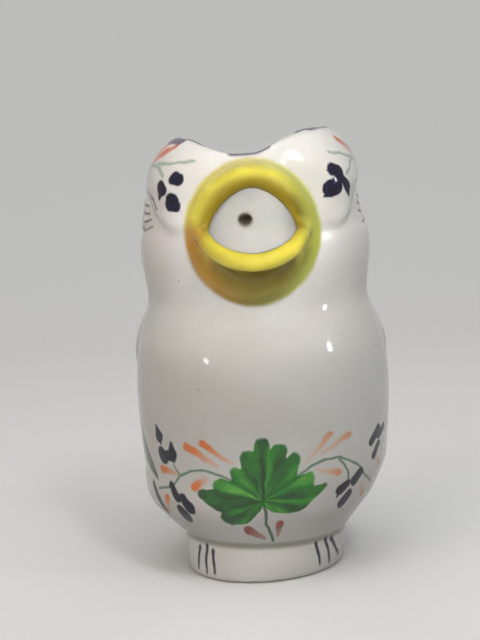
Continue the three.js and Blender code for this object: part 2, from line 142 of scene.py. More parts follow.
def brow(phi, height):
    turn = turn_from_front(phi)
    inner, full, outer = BROW_ANGLES
    across = smooth(inner, full, turn) * (1 - smooth(full, outer, turn))
    rounding = BROW_ROUNDING * smooth(ROUNDING_START, outer, turn)
    up = (smooth(BROW_BOTTOM + rounding, BROW_FULL + 1.4 * rounding, height)
          * (1 - smooth(NECK_HEIGHT, PEAK_HEIGHT, height)))
    return BROW_SWELL * across * up


def socket(phi, height):
    """Hollow round the eye, shallow on the left and deep and a little higher on the right."""
    right = smooth(-0.3, 0.3, np.sin(phi))
    across = (turn_from_front(phi) - EYE_ANGLE) / SOCKET_HALF_ANGLE
    half_height = mix(LEFT_SOCKET_HALF_HEIGHT, RIGHT_SOCKET_HALF_HEIGHT, right)
    up = (height - EYE_HEIGHT - RIGHT_SOCKET_RISE * right) / half_height
    depth = mix(LEFT_SOCKET_SHARE, RIGHT_SOCKET_SHARE, right) * SOCKET_DEPTH
    return depth * np.exp(-((across**2 + up**2) ** 2))


def set_over(height):
    bottom = FOOT_HEIGHT + 0.3
    under = np.clip((height - bottom) / (UNDERSIDE_HEIGHT - bottom), 0, 1)
    belly = smooth(bottom, UNDERSIDE_HEIGHT, height) * (1 - smooth(BELLY_HEIGHT, NECK_HEIGHT, height))
    return UNDERSIDE_SET_OVER * np.sin(math.pi * under) + BELLY_SET_OVER * belly**2


def section(phi, t):
    """Half width, half depth, height and squareness of the jug at a height t up the wall."""
    low = spline(STATIONS, np.minimum(t, SHOULDER) / SHOULDER)
    share = np.clip((t - SHOULDER) / (1 - SHOULDER), 0, 1)
    lean = np.cos(SHOULDER_END * share) ** SHOULDER_SLOPE
    above = t > SHOULDER
    wide = np.where(above, mix(RIM_WIDTH / 2, HEAD_WIDTH / 2, lean), low[..., 0])
    deep = np.where(above, mix(RIM_DEPTH / 2, HEAD_DEPTH / 2, lean), low[..., 1])
    tall = np.where(above, mix(NECK_HEIGHT, rim_height(phi), np.sin(SHOULDER_END * share)), low[..., 2])
    square = np.where(above, mix(2.4, 2.15, share),
                      mix(2, 2.4, smooth(BELLY_HEIGHT, NECK_HEIGHT, low[..., 2])))
    return wide, deep, tall, square


def skin(phi, t):
    """Point of the jug's outside: phi runs round from the front and t up from the crease."""
    phi, t = np.broadcast_arrays(np.asarray(phi, float), np.asarray(t, float))
    wide, deep, tall, square = section(phi, t)
    reach = (np.abs(np.sin(phi) / wide) ** square + np.abs(np.cos(phi) / deep) ** square)
    radius = reach ** (-1 / square) + brow(phi, tall) - socket(phi, tall)
    return np.stack([radius * np.sin(phi) + set_over(tall), -radius * np.cos(phi), tall], -1)


def skin_frame(phi, t, probe=1e-4):
    """Unit vectors out of the surface and up along it."""
    round_ = skin(phi + probe, t) - skin(phi - probe, t)
    up = skin(phi, np.minimum(1, t + probe)) - skin(phi, np.maximum(0, t - probe))
    up /= np.linalg.norm(up, axis=-1, keepdims=True)
    out = np.cross(round_, up)
    return out / np.linalg.norm(out, axis=-1, keepdims=True), up


def lifted(phi, t, lift):
    out, _ = skin_frame(phi, t)
    return skin(phi, t) + out * np.asarray(lift, float)[..., None]


CLIMB = np.linspace(0, SHOULDER, 1600)
CLIMB_HEIGHTS = section(np.zeros_like(CLIMB), CLIMB)[2]


def climb_to(height):
    return np.interp(height, CLIMB_HEIGHTS, CLIMB)


def turns(count):
    return np.arange(count) * 2 * math.pi / count


def placed(name, data):
    """A new object in the scene for a mesh, curve, camera or lamp."""
    made = bpy.data.objects.new(name, data)
    bpy.context.scene.collection.objects.link(made)
    return made


def piece_from(name, points, faces):
    mesh = bpy.data.meshes.new(name)
    mesh.from_pydata((np.asarray(points, float) * MM).tolist(), [], faces)
    mesh.update()
    return placed(name, mesh)


def loft(name, rings, joined=False):
    """Closed surface through rings of points: its ends are capped, or join each other."""
    rings = np.asarray(rings, float)
    rows, sides, _ = rings.shape
    points = rings.reshape(-1, 3)
    row = np.arange(rows if joined else rows - 1)[:, None] * sides
    side = np.arange(sides)[None, :]
    following = (row + sides) % (rows * sides)
    beside = (side + 1) % sides
    faces = np.stack([row + side, row + beside, following + beside, following + side], -1)
    faces = faces.reshape(-1, 4).tolist()
    if not joined:
        for start, flip in ((0, True), ((rows - 1) * sides, False)):
            hub = len(points)
            points = np.vstack([points, points[start:start + sides].mean(0)])
            for a in range(sides):
                pair = (start + a, start + (a + 1) % sides)
                faces.append([hub, *(pair[::-1] if flip else pair)])
    piece = piece_from(name, points, faces)
    if enclosed(piece.data) < 0:
        piece.data.flip_normals()
    return piece


def numbers(items, name, kind=float, width=1):
    """What each vertex, corner or face of a mesh says under a name, as one array."""
    found = np.empty(len(items) * width, kind)
    items.foreach_get(name, found)
    return found if width == 1 else found.reshape(-1, width)


def enclosed(mesh):
    """Six times the volume inside a closed mesh, which is negative when it faces inwards."""
    mesh.calc_loop_triangles()
    corners = numbers(mesh.vertices, "co", width=3)
    a, b, c = corners[numbers(mesh.loop_triangles, "vertices", int, 3)].transpose(1, 0, 2)
    return float(np.einsum("ij,ij->", a, np.cross(b, c)))


def vertex_places(mesh):
    return numbers(mesh.vertices, "co", width=3) / MM


def finished_mesh(piece, name):
    """The piece with its modifiers applied, as a new piece."""
    depsgraph = bpy.context.evaluated_depsgraph_get()
    mesh = bpy.data.meshes.new_from_object(piece.evaluated_get(depsgraph), depsgraph=depsgraph)
    return placed(name, mesh)


def cut(piece, operation, *others, name=None, keep=True):
    """The piece joined with, cut by or kept inside the other solids."""
    for other in others:
        change = piece.modifiers.new("cut", "BOOLEAN")
        change.operation, change.solver, change.object = operation, "MANIFOLD", other
    made = finished_mesh(piece, name or piece.name)
    piece.modifiers.clear()
    if not keep:
        bpy.data.objects.remove(piece)
    return made


def wall_shape():
    """The cast body: up the outside, over the rounded rim and down the inside."""
    phi = turns(216)
    outer_t = np.concatenate([np.linspace(0, SHOULDER, 110), np.linspace(SHOULDER, 1, 26)[1:]])
    rows = [skin(phi, 0) * (1, 1, 0) + (0, 0, FOOT_HEIGHT - 0.2)]
    rows += [skin(phi, t) for t in outer_t]
    out, up = skin_frame(phi, 1)
    middle = lifted(phi, 1, -WALL / 2)
    for turn in np.linspace(0, math.pi, 12)[1:-1]:
        rows.append(middle + out * math.cos(turn) * WALL / 2 + up * math.sin(turn) * WALL / 2)
    rows += [lifted(phi, t, -WALL) for t in np.linspace(1, 0, 90)[:-1]]
    bottom = skin(phi, 0)
    inset = 1 - WALL / np.hypot(bottom[:, 0], bottom[:, 1])[:, None]
    rows.append(bottom * np.concatenate([inset, inset, np.ones_like(inset)], 1))
    rows.append(rows[-1] * (1, 1, 0) + (0, 0, FOOT_HEIGHT - 0.2))
    return loft("wall", np.asarray(rows).transpose(1, 0, 2), joined=True)


def lump(name, lift):
    """The jug's outline as a full solid, grown or shrunk."""
    phi = turns(144)
    climb = np.concatenate([np.linspace(0, SHOULDER, 80), np.linspace(SHOULDER, 1, 16)[1:]])
    return loft(name, [lifted(phi, t, lift) for t in climb])


def foot_shape():
    """Low pedestal, hollow above its floor, slightly oval at its base."""
    edge = np.linspace(0, math.pi / 2, 8)
    bore = FOOT_RADIUS - WALL + 0.05
    profile = [(FOOT_BASE_RADIUS - FOOT_EDGE + FOOT_EDGE * math.sin(a), FOOT_EDGE - FOOT_EDGE * math.cos(a))
               for a in edge]
    profile += [(mix(FOOT_BASE_RADIUS, FOOT_RADIUS, 0.8), FOOT_HEIGHT / 2),
                (FOOT_RADIUS - 0.1, FOOT_HEIGHT + 0.4), (bore, FOOT_HEIGHT + 0.4)]
    profile += [(bore - FOOT_CORNER + FOOT_CORNER * math.cos(a),
                 FOOT_FLOOR + FOOT_CORNER - FOOT_CORNER * math.sin(a)) for a in edge]
    phi = turns(144)
    rings = []
    for radius, height in profile:
        oval = FOOT_OVAL * np.cos(2 * (phi + math.pi / 4)) * (1 - height / FOOT_HEIGHT)
        reach = radius + oval
        rings.append(np.stack([reach * np.sin(phi), -reach * np.cos(phi), np.full_like(phi, height)], -1))
    return loft("pedestal", rings)


ACROSS_SHARES = (0, 0.05, 0.13, 0.24, 0.36, 0.5, 0.64, 0.78, 0.9, 1)
UPPER_SHARES = (0.4, 0.58, 0.76, 0.9, 0.985, 1, 0.93, 0.74, 0.42, -0.08)
LOWER_SHARES = (0.74, 0.9, 0.94, 0.82, 0.54, 0.34, 0.32, 0.32, 0.19, -0.04)


def power_curve(value, power=1.21):
    return np.sign(value) * np.abs(value) ** power


def mouth_edge(theta, grow=0):
    up = np.sin(theta)
    rise = np.where(up > 0, MOUTH_RISE, LIP_DROP) + grow
    return np.stack([(MOUTH_HALF_WIDTH + grow) * power_curve(np.cos(theta)),
                     CORNER_HEIGHT + rise * power_curve(up)], -1)


def beak_edge(theta, grow=0):
    return np.stack([(BEAK_HALF_WIDTH + grow) * np.cos(theta),
                     BEAK_HEIGHT + (BEAK_HALF_HEIGHT + grow) * np.sin(theta)], -1)


def front_depth(x, height):
    """How far forward the head's surface lies at a place across and up."""
    wide, deep, _, square = section(np.zeros_like(x), climb_to(np.minimum(height, NECK_HEIGHT)))
    plain = deep * (1 - np.abs(x / wide) ** square) ** (1 / square)
    phi = np.arctan2(x, plain)
    return plain + brow(phi, height) * np.cos(phi)


def beak_shape():
    theta = turns(200)
    inner, outer = mouth_edge(theta), beak_edge(theta)
    up = np.sin(theta)
    upper = smooth(-0.3, 0.3, up)
    reach = mix(CORNER_REACH, np.where(up > 0, UPPER_REACH, LOWER_REACH), up * up)
    seat = front_depth(outer[:, 0], outer[:, 1])
    places = spline(np.stack([ACROSS_SHARES, UPPER_SHARES, LOWER_SHARES], -1), np.linspace(0, 1, 46))
    rows = []
    for share, high, low in places:
        spot = mix(inner, outer, share)
        rows.append(np.stack([spot[:, 0], -(seat + reach * mix(low, high, upper)), spot[:, 1]], -1))
    back = -(seat - WALL - BEAK_BITE)
    rows += [np.stack([edge[:, 0], back, edge[:, 1]], -1) for edge in (outer, inner)]
    return loft("beak", np.asarray(rows).transpose(1, 0, 2) + (BEAK_SET_OVER, 0, 0), joined=True)


def prism(name, edge, front, back):
    """Solid of one outline through the head from front to back."""
    rings = [np.stack([edge[:, 0] + BEAK_SET_OVER, np.full(len(edge), y), edge[:, 1]], -1)
             for y in (front, back)]
    return loft(name, rings)


def handle_path(count):
    span = HANDLE_TOP - HANDLE_BOTTOM
    out_shares = (-0.16, 0.22, 0.66, 0.95, 1, 0.83, 0.52, 0.16, -0.1)
    down_shares = (0.02, -0.035, -0.02, 0.13, 0.4, 0.68, 0.86, 0.96, 1.01)
    knots = []
    for out, down in zip(out_shares, down_shares):
        root = mix(HEAD_DEPTH / 2, BELLY_DEPTH / 2 - WALL / 2, min(1, max(0, down)))
        knots.append((mix(HANDLE_SET_OVER, 0, max(0, down)),
                      mix(root, HANDLE_REACH - HANDLE_THICKNESS / 2, out), HANDLE_TOP - span * down))
    return spline(knots, np.linspace(0, 1, count))


def lip_path(count):
    """Centre line of the rolled lower lip, from one corner of the mouth to the other."""
    theta = np.linspace(math.pi, 2 * math.pi, count)
    up = np.sin(theta)
    x = LIP_SET_OVER + LIP_HALF_WIDTH * power_curve(np.cos(theta), 1.05)
    z = LIP_CORNER_HEIGHT - LIP_SAG * np.abs(up) ** 1.15
    stand = mix(LIP_CORNER_STAND, LIP_STAND, np.abs(up) ** 1.5)
    return np.stack([x, -(front_depth(x, z) + stand), z], -1)


class Wire:
    """A node's socket that adds, multiplies and compares like a number."""

    def __init__(self, tree, socket=None):
        self.tree, self.socket = tree, socket

    def node(self, kind, inputs=(), output=0, stops=None, curve=None, **settings):
        made = self.tree.nodes.new(kind)
        for name, value in settings.items():
            setattr(made, name, value)
        if stops:
            ramp = made.color_ramp
            while len(ramp.elements) < len(stops):
                ramp.elements.new(0.5)
            for element, (place, colour) in zip(ramp.elements, stops):
                element.position, element.color = place, colour
        if curve:
            line = made.mapping.curves[0]
            line.points[0].location, line.points[1].location = curve[0], curve[-1]
            for spot in curve[1:-1]:
                line.points.new(*spot)
            for point in line.points:
                point.handle_type = "AUTO_CLAMPED"
            made.mapping.update()
        for key, value in dict(inputs).items():
            if isinstance(value, Wire):
                self.tree.links.new(value.socket, made.inputs[key])
            else:
                made.inputs[key].default_value = value
        return Wire(self.tree, made.outputs[output]) if made.outputs else made

    def maths(self, operation, *values):
        return self.node("ShaderNodeMath", enumerate(values), operation=operation)

    def __add__(self, other):
        return self.maths("ADD", self, other)

    __radd__ = __add__

    def __sub__(self, other):
        return self.maths("SUBTRACT", self, other)

    def __rsub__(self, other):
        return self.maths("SUBTRACT", other, self)

    def __mul__(self, other):
        return self.maths("MULTIPLY", self, other)

    __rmul__ = __mul__

    def __truediv__(self, other):
        return self.maths("DIVIDE", self, other)

    def __rtruediv__(self, other):
        return self.maths("DIVIDE", other, self)

    def __pow__(self, other):
        return self.maths("POWER", self, other)

    def __abs__(self):
        return self.maths("ABSOLUTE", self)

    def least(self, other):
        return self.maths("MINIMUM", self, other)

    def most(self, other):
        return self.maths("MAXIMUM", self, other)

    def over(self, other):
        return self.maths("GREATER_THAN", self, other)

    def ease(self, low, high):
        return self.node("ShaderNodeMapRange", {"Value": self, "From Min": low, "From Max": high},
                         interpolation_type="SMOOTHSTEP")

    def vector(self, operation, *values, output=0):
        return self.node("ShaderNodeVectorMath", enumerate(values), output, operation=operation)

    def blend(self, low, high):
        """Colour between two colours, by this share."""
        return self.node("ShaderNodeMix", {0: self, 6: low, 7: high}, 2, data_type="RGBA")

    def noise(self, place, scale, detail=2.0, output=0):
        return self.node("ShaderNodeTexNoise", {"Vector": place, "Scale": scale, "Detail": detail}, output)

    def parts(self, *axes):
        return [self.node("ShaderNodeSeparateXYZ", {0: self}, axis) for axis in axes]

    def flat(self, across, up):
        return self.node("ShaderNodeCombineXYZ", {0: across, 1: up, 2: 0.0})

    def own_place(self):
        """Place on the jug in metres."""
        return self.node("ShaderNodeTexCoord", output=3)


FLARE_START, THINNEST = 0.04, 0.08  # shares of a coil's length and of its thickness


def clay_roll_tree():
    """Rolls clay along a curve: an oval coil that can flare at its roots or round off at its ends."""
    tree = bpy.data.node_groups.new("clay_roll", "GeometryNodeTree")
    face = tree.interface
    face.new_socket("Path", in_out="INPUT", socket_type="NodeSocketGeometry")
    for name, value in (("Width", 0.01), ("Thickness", 0.01), ("Flare", 0.0), ("Flare Share", 0.3),
                        ("End Share", 0.001)):
        face.new_socket(name, in_out="INPUT", socket_type="NodeSocketFloat").default_value = value
    face.new_socket("Sides", in_out="INPUT", socket_type="NodeSocketInt").default_value = 32
    face.new_socket("Material", in_out="INPUT", socket_type="NodeSocketMaterial")
    face.new_socket("Clay", in_out="OUTPUT", socket_type="NodeSocketGeometry")
    wire = Wire(tree)
    given = {socket.name: Wire(tree, socket) for socket in tree.nodes.new("NodeGroupInput").outputs}
    share = wire.node("GeometryNodeSplineParameter")
    from_end = share.least(1.0 - share)
    flare = wire.node("ShaderNodeMapRange", {
        "Value": from_end, "From Min": FLARE_START, "From Max": given["Flare Share"],
        "To Min": 1.0, "To Max": 0.0}, interpolation_type="SMOOTHSTEP")
    near_end = (from_end / given["End Share"]).least(1.0)
    rounding = wire.maths("SQRT", 1.0 - (1.0 - near_end) ** 2.0)
    radius = (wire.maths("MULTIPLY_ADD", flare, given["Flare"], 1.0) * rounding).most(THINNEST)
    sized = wire.node("GeometryNodeSetCurveRadius", {"Curve": given["Path"], "Radius": radius})
    circle = wire.node("GeometryNodeCurvePrimitiveCircle", {"Resolution": given["Sides"], "Radius": 0.5},
                       mode="RADIUS")
    oval = wire.node("ShaderNodeCombineXYZ", {"X": given["Width"], "Y": given["Thickness"], "Z": 1.0})
    profile = wire.node("GeometryNodeTransform", {"Geometry": circle, "Scale": oval})
    rolled = wire.node("GeometryNodeCurveToMesh",
                       {"Curve": sized, "Profile Curve": profile, "Fill Caps": True})
    real = wire.node("GeometryNodeRealizeInstances", {"Geometry": rolled})
    done = wire.node("GeometryNodeSetMaterial", {"Geometry": real, "Material": given["Material"]})
    wire.node("NodeGroupOutput", {0: done})
    return tree


def clay_roll(name, tree, path, material, **sizes):
    line = bpy.data.curves.new(name + "_path", "CURVE")
    line.dimensions = "3D"
    strand = line.splines.new("POLY")
    strand.points.add(len(path) - 1)
    strand.points.foreach_set("co", np.hstack([path * MM, np.ones((len(path), 1))]).ravel())
    coil = placed(name + "_path", line)
    rolling = coil.modifiers.new("roll", "NODES")
    rolling.node_group = tree
    sockets = {item.name: item.identifier for item in tree.interface.items_tree if item.in_out == "INPUT"}
    for label, value in {**sizes, "Material": material}.items():
        rolling[sockets[label.replace("_", " ")]] = value
    made = finished_mesh(coil, name)
    bpy.data.objects.remove(coil)
    if enclosed(made.data) < 0:
        made.data.flip_normals()
    return made


def wing_edge(turn):
    along = np.cos(turn)
    behind = smooth(-0.2, 1, along)
    feather = 1 + SCALLOP_SHARE * np.cos(SCALLOPS_ROUND * turn) * behind
    taper = mix(1, WING_TIP_SHARE, behind)
    return np.stack([WING_LENGTH / 2 * along * feather,
                     WING_BREADTH / 2 * np.sin(turn) * taper * feather], -1)


def eye_edge(turn):
    up = np.sin(turn)
    return np.stack([EYE_LENGTH / 2 * np.cos(turn), EYE_BREADTH / 2 * up * np.abs(up) ** 0.5], -1)


def wing_rise(share, turn):
    """Lift of the wing: a dome with rows of feathers that fan out from the shoulder."""
    edge_rise = mix(PAD_EDGE, WING_FRONT_EDGE, smooth(0.3, -0.9, np.cos(turn)))
    dome = edge_rise + (WING_RELIEF - FEATHER_ROOM - edge_rise) * (1 - share**3)
    edge = wing_edge(turn) * share[..., None]
    along = edge[..., 0] / WING_LENGTH + 0.5
    fan = np.arctan2(edge[..., 1], edge[..., 0] + WING_LENGTH * 0.75)
    quill = np.abs(np.cos(fan * QUILLS_ROUND))
    row = along * FEATHER_ROWS - QUILL_LEAD * quill
    step = row - np.floor(row)
    feathered = smooth(0.16, 0.4, along)
    groove = FEATHER_GROOVE * (1 - quill) ** 2 * feathered
    return dome + (FEATHER_STEP * (step - 0.6) * feathered - groove) * (1 - share**6)


def eye_rise(share, _turn):
    """Lift of the eye: a lid that runs round a slightly domed ball."""
    lid = PAD_EDGE + (EYE_RELIEF - PAD_EDGE) * np.sqrt(np.clip(1 - share**4, 0, 1))
    return lid - 0.3 * np.exp(-(((share - 0.7) / 0.09) ** 2))


def pad_points(side, azimuth, height, tilt, spot, lift):
    """Ring of points on the jug's side, from its outline laid flat."""
    along, up = spot[:, 0], spot[:, 1]
    middle = skin(azimuth * DEGREE, climb_to(height))
    radius = math.hypot(middle[0], middle[1])
    c, s = math.cos(tilt * DEGREE), math.sin(tilt * DEGREE)
    phi = azimuth * DEGREE + (along * c + up * s) / radius
    return lifted(side * phi, climb_to(height + up * c - along * s), lift)


def pad_shape(name, side, place, edge, rise, sides=168, rings=30, floor=-1.4):
    turn = turns(sides)
    rows = [pad_points(side, *place, edge(turn) * share, rise(np.full(sides, share), turn))
            for share in np.linspace(0.02, 1, rings)]
    rows += [pad_points(side, *place, edge(turn) * share, floor) for share in np.linspace(1, 0.02, 12)]
    return loft(name, rows)


def pad_block(name, side, place, edge, grow):
    """The space that a pad takes up, through the wall's outer millimetres."""
    outline = edge(turns(96)) * grow
    return loft(name, [pad_points(side, *place, outline, lift) for lift in (-2.6, 0.0, 4.0)])


def tail_shape(name, grow=0.0):
    """Short fan that widens and thins to three rounded feather tips, or a plain fan grown round it."""
    trimmed = grow == 0
    root = BELLY_DEPTH / 2 - WALL
    rows = []
    turn = turns(96)
    across = np.cos(turn)
    for share in np.linspace(0, 1, 40):
        last = max(0, (share - 0.7) / 0.3)
        wide = mix(TAIL_ROOT_WIDTH, TAIL_TIP_WIDTH, smooth(0, 1, share)) / 2
        thick = mix(TAIL_ROOT_THICKNESS, TAIL_TIP_THICKNESS, share) / 2 * math.sqrt(1 - 0.8 * last**2)
        feather = 1 - np.abs(np.cos(3 * math.pi / 2 * across))
        trim = TAIL_NOTCH * share**2 * (feather + across**2)
        quill = 0.5 * feather * smooth(0.1, 0.6, share) * np.abs(np.sin(turn))
        reach = mix(root, TAIL_REACH + grow, share) - trim * trimmed
        height = TAIL_HEIGHT + TAIL_RISE * share + np.sin(turn) * (thick + grow - quill * trimmed)
        rows.append(np.stack([across * (wide + grow), reach, height], -1))
    return loft(name, rows)


WING_PLACE = (WING_ANGLE, WING_HEIGHT, WING_TILT)
EYE_PLACE = (EYE_ANGLE, EYE_HEIGHT, EYE_TILT)


def remove(*pieces):
    for piece in pieces:
        bpy.data.objects.remove(piece)


def fused_clay(roll_material):
    """Every piece of clay luted into one, with the seams softened by slip and glaze."""
    tree = clay_roll_tree()
    core = lump("core", -WALL / 2)
    wall, foot, beak = wall_shape(), foot_shape(), beak_shape()
    plug = prism("plug", mouth_edge(turns(200), 0.02), -HEAD_DEPTH, 0)
    flare = HANDLE_FLARE / ((HANDLE_WIDTH + HANDLE_THICKNESS) / 4)
    handle = clay_roll("handle_coil", tree, handle_path(90), roll_material, Width=HANDLE_WIDTH * MM,
                       Thickness=HANDLE_THICKNESS * MM, Flare=flare, Flare_Share=0.3, Sides=48)
    bore = clay_roll("drain", tree, handle_path(90), roll_material, Width=HANDLE_BORE * MM,
                     Thickness=HANDLE_BORE * MM, Flare=0.75, Flare_Share=0.075, Sides=32)
    lip = clay_roll("lip_coil", tree, lip_path(70), roll_material, Width=LIP_THICKNESS * MM,
                    Thickness=LIP_THICKNESS * MM, End_Share=0.2, Sides=32)
    tail = tail_shape("tail_fan")
    pads = []
    for side in (1, -1):
        pads.append(pad_shape("wing_pad", side, WING_PLACE, wing_edge, wing_rise))
        pads.append(pad_shape("eye_pad", side, EYE_PLACE, eye_edge, eye_rise))
    head = cut(wall, "UNION", foot, beak)
    open_head = cut(head, "DIFFERENCE", plug)
    roots = [cut(piece, "DIFFERENCE", core) for piece in (handle, tail, lip)]
    joined = cut(open_head, "UNION", *roots, *pads)
    drained = cut(joined, "DIFFERENCE", bore)
    knit = drained.modifiers.new("knit", "REMESH")
    knit.mode, knit.voxel_size, knit.use_smooth_shade = "VOXEL", CLAY_GRAIN * MM, True
    slip = drained.modifiers.new("slip", "SMOOTH")
    slip.factor, slip.iterations = 0.5, SLIP_PASSES
    clay = finished_mesh(drained, "clay")
    remove(core, wall, foot, beak, plug, handle, bore, lip, tail, *pads, head, open_head, *roots,
           joined, drained)
    place = numbers(clay.data.vertices, "co", width=3)
    place[:, 2] = np.maximum(place[:, 2], 0)
    clay.data.vertices.foreach_set("co", place.ravel())
    clay.data.update()
    return softened_mouth(clay)


def softened_mouth(clay):
    """Runs more slip into the seams of the beak than anywhere else, and most at the lip's two ends."""
    place = vertex_places(clay.data)
    spread = np.hypot((place[:, 0] - BEAK_SET_OVER) / BEAK_HALF_WIDTH,
                      (place[:, 2] - BEAK_HEIGHT) / BEAK_HALF_HEIGHT)
    from_end = np.hypot(np.abs(place[:, 0] - LIP_SET_OVER) - LIP_HALF_WIDTH,
                        place[:, 2] - LIP_CORNER_HEIGHT + 1)
    seams = {"mouth": ((spread < 1.0) & (place[:, 1] < -24), MOUTH_PASSES),
             "lip_ends": ((from_end < LIP_END_REACH) & (place[:, 1] < -28), LIP_END_PASSES)}
    for name, (near, passes) in seams.items():
        clay.vertex_groups.new(name=name).add(np.nonzero(near)[0].tolist(), 1.0, "REPLACE")
        slip = clay.modifiers.new("slip", "SMOOTH")
        slip.factor, slip.iterations, slip.vertex_group = 0.5, passes, name
    soft = finished_mesh(clay, "clay")
    remove(clay)
    soft.vertex_groups.clear()
    return soft


def lightened(clay):
    """The clay with fewer, larger faces where it is smooth."""
    lighter = clay.modifiers.new("lighter", "DECIMATE")
    lighter.ratio = KEPT_SHARE
    light = finished_mesh(clay, "light_clay")
    clay.modifiers.clear()
    return light


def box_solid(name, low, high):
    corners = [(x, y, z) for z in (low[2], high[2])
               for x, y in ((low[0], low[1]), (high[0], low[1]), (high[0], high[1]), (low[0], high[1]))]
    faces = [(3, 2, 1, 0), (4, 5, 6, 7), (0, 1, 5, 4), (1, 2, 6, 5), (2, 3, 7, 6), (3, 0, 4, 7)]
    return piece_from(name, corners, faces)


def parted(clay, roll_material):
    """The fused clay taken apart again into its named pieces, each a closed solid."""
    tree = bpy.data.node_groups["clay_roll"]
    shrunk = lump("shrunk", -INLAY)
    far = 90
    blocks = {"foot": box_solid("block", (-far, -far, -5), (far, far, CREASE))}
    flare = (HANDLE_FLARE + BLOCK_GROWTH / 2) / ((HANDLE_WIDTH + HANDLE_THICKNESS) / 4)
    wide, thick = HANDLE_WIDTH + BLOCK_GROWTH, HANDLE_THICKNESS + BLOCK_GROWTH
    loop = clay_roll("block", tree, handle_path(90), roll_material, Width=wide * MM, Thickness=thick * MM,
                     Flare=flare, Flare_Share=0.32, Sides=48)
    rough = {"handle": loop, "tail": tail_shape("block", BLOCK_GROWTH / 2)}
    beak = prism("block", beak_edge(turns(160), 0.5), -60, -18)
    above = box_solid("block", (-far, -far, CORNER_HEIGHT), (far, far, 160))
    below = box_solid("block", (-far, -far, 70), (far, far, CORNER_HEIGHT))
    rough["upper_beak"] = cut(beak, "INTERSECT", above)
    rough["lower_beak"] = cut(beak, "INTERSECT", below)
    for word, side in (("right", 1), ("left", -1)):
        rough["wing_" + word] = pad_block("block", side, WING_PLACE, wing_edge, 1.015)
        rough["eye_" + word] = pad_block("block", side, EYE_PLACE, eye_edge, 1.04)
    for name, block in rough.items():
        blocks[name] = cut(block, "DIFFERENCE", shrunk)
    pieces = {name: cut(clay, "INTERSECT", block, name=name + "_glazed") for name, block in blocks.items()}
    pieces["body_shell"] = cut(clay, "DIFFERENCE", *blocks.values(), name="body_shell_glazed")
    remove(clay, shrunk, beak, above, below, *rough.values(), *blocks.values())
    return pieces


PAINT_RADIUS = 38  # millimetres round the jug are measured on this radius, from the front


def paint_map(mesh):
    """UV map in millimetres: round the jug from the front, and up."""
    place = vertex_places(mesh)
    corner = numbers(mesh.loops, "vertex_index", int)
    phi = np.arctan2(place[:, 0], -place[:, 1])[corner]
    start, total = (numbers(mesh.polygons, name, int) for name in ("loop_start", "loop_total"))
    first = np.repeat(phi[start], total)
    phi = phi + 2 * math.pi * np.round((first - phi) / (2 * math.pi))
    flat = np.stack([phi * PAINT_RADIUS, place[corner, 2]], -1)
    mesh.uv_layers.new(name="paint").uv.foreach_set("vector", flat.ravel())


def rim_drop(place):
    """Distance along the surface from the rim's crest: outside below it is positive."""
    phi = np.arctan2(place[:, 0], -place[:, 1])
    out, up = skin_frame(phi, 1)
    crest = skin(phi, 1) - out * WALL / 2 + up * WALL / 2
    away = place - crest
    return np.sign(np.einsum("ij,ij->i", away, out)) * np.linalg.norm(away, axis=1)


def inner_faces(centre, columns=97, rows=160):
    """Which faces line the well: those further in than the middle of the wall."""
    round_ = np.linspace(-math.pi, math.pi, columns)[:, None]
    middle = lifted(round_, np.linspace(0, 1, rows)[None, :], -WALL / 2)
    phi = np.arctan2(centre[:, 0], -centre[:, 1])
    radius = np.hypot(centre[:, 0], centre[:, 1])
    last = columns - 1
    column = np.clip(np.round((phi + math.pi) / (2 * math.pi) * last).astype(int), 0, last)
    limit = np.empty(len(centre))
    for index in range(columns):
        mine = column == index
        if mine.any():
            limit[mine] = np.interp(centre[mine, 2], middle[index, :, 2],
                                    np.hypot(middle[index, :, 0], middle[index, :, 1]))
    return radius < limit


def without_crumbs(piece):
    """Keeps the biggest connected part, without the slivers that a cut can leave."""
    shape = bmesh.new()
    shape.from_mesh(piece.data)
    waiting = set(shape.verts)
    parts = []
    while waiting:
        part = [waiting.pop()]
        for vertex in part:
            for edge in vertex.link_edges:
                other = edge.other_vert(vertex)
                if other in waiting:
                    waiting.remove(other)
                    part.append(other)
        parts.append(part)
    parts.sort(key=len)
    for part in parts[:-1]:
        bmesh.ops.delete(shape, geom=part, context="VERTS")
    shape.to_mesh(piece.data)
    shape.free()


def with_clay_normals(piece, clay):
    """Shades the piece as the unbroken clay, so that no seam shows where pieces meet."""
    without_crumbs(piece)
    piece.data.shade_smooth()
    shade = piece.modifiers.new("shade", "DATA_TRANSFER")
    shade.object = clay
    shade.use_loop_data = True
    shade.data_types_loops = {"CUSTOM_NORMAL"}
    shade.loop_mapping = "POLYINTERP_NEAREST"
    made = finished_mesh(piece, piece.name.replace("_glazed", ""))
    remove(piece)
    return made


def tint(red, green, blue, alpha=1.0):
    """Linear colour of a screen colour from 0 to 255."""
    return tuple((c / 12.92 if c <= 0.04045 else ((c + 0.055) / 1.055) ** 2.4)
                 for c in (red / 255, green / 255, blue / 255)) + (alpha,)


def stroke(place, start, end, start_radius, end_radius):
    """Distance to the edge of a brush mark from start to end, and the share of the way along."""
    start, end = Vector((*start, 0)), Vector((*end, 0))
    along = end - start
    away = place.vector("SUBTRACT", place, start)
    share = away.vector("DOT_PRODUCT", away, along / along.length_squared, output=1).most(0.0).least(1.0)
    back = away.node("ShaderNodeVectorMath", {0: -along, 3: share}, operation="SCALE")
    nearest = away.vector("ADD", away, back)
    reach = nearest.vector("LENGTH", nearest, output=1)
    return reach - share.maths("MULTIPLY_ADD", share, end_radius - start_radius, start_radius), share


def round_jug(spot):
    """A place given as degrees round the jug and millimetres up, in paint millimetres."""
    turn, height = spot
    return turn * DEGREE * PAINT_RADIUS, height


def as_it_is(spot):
    return spot


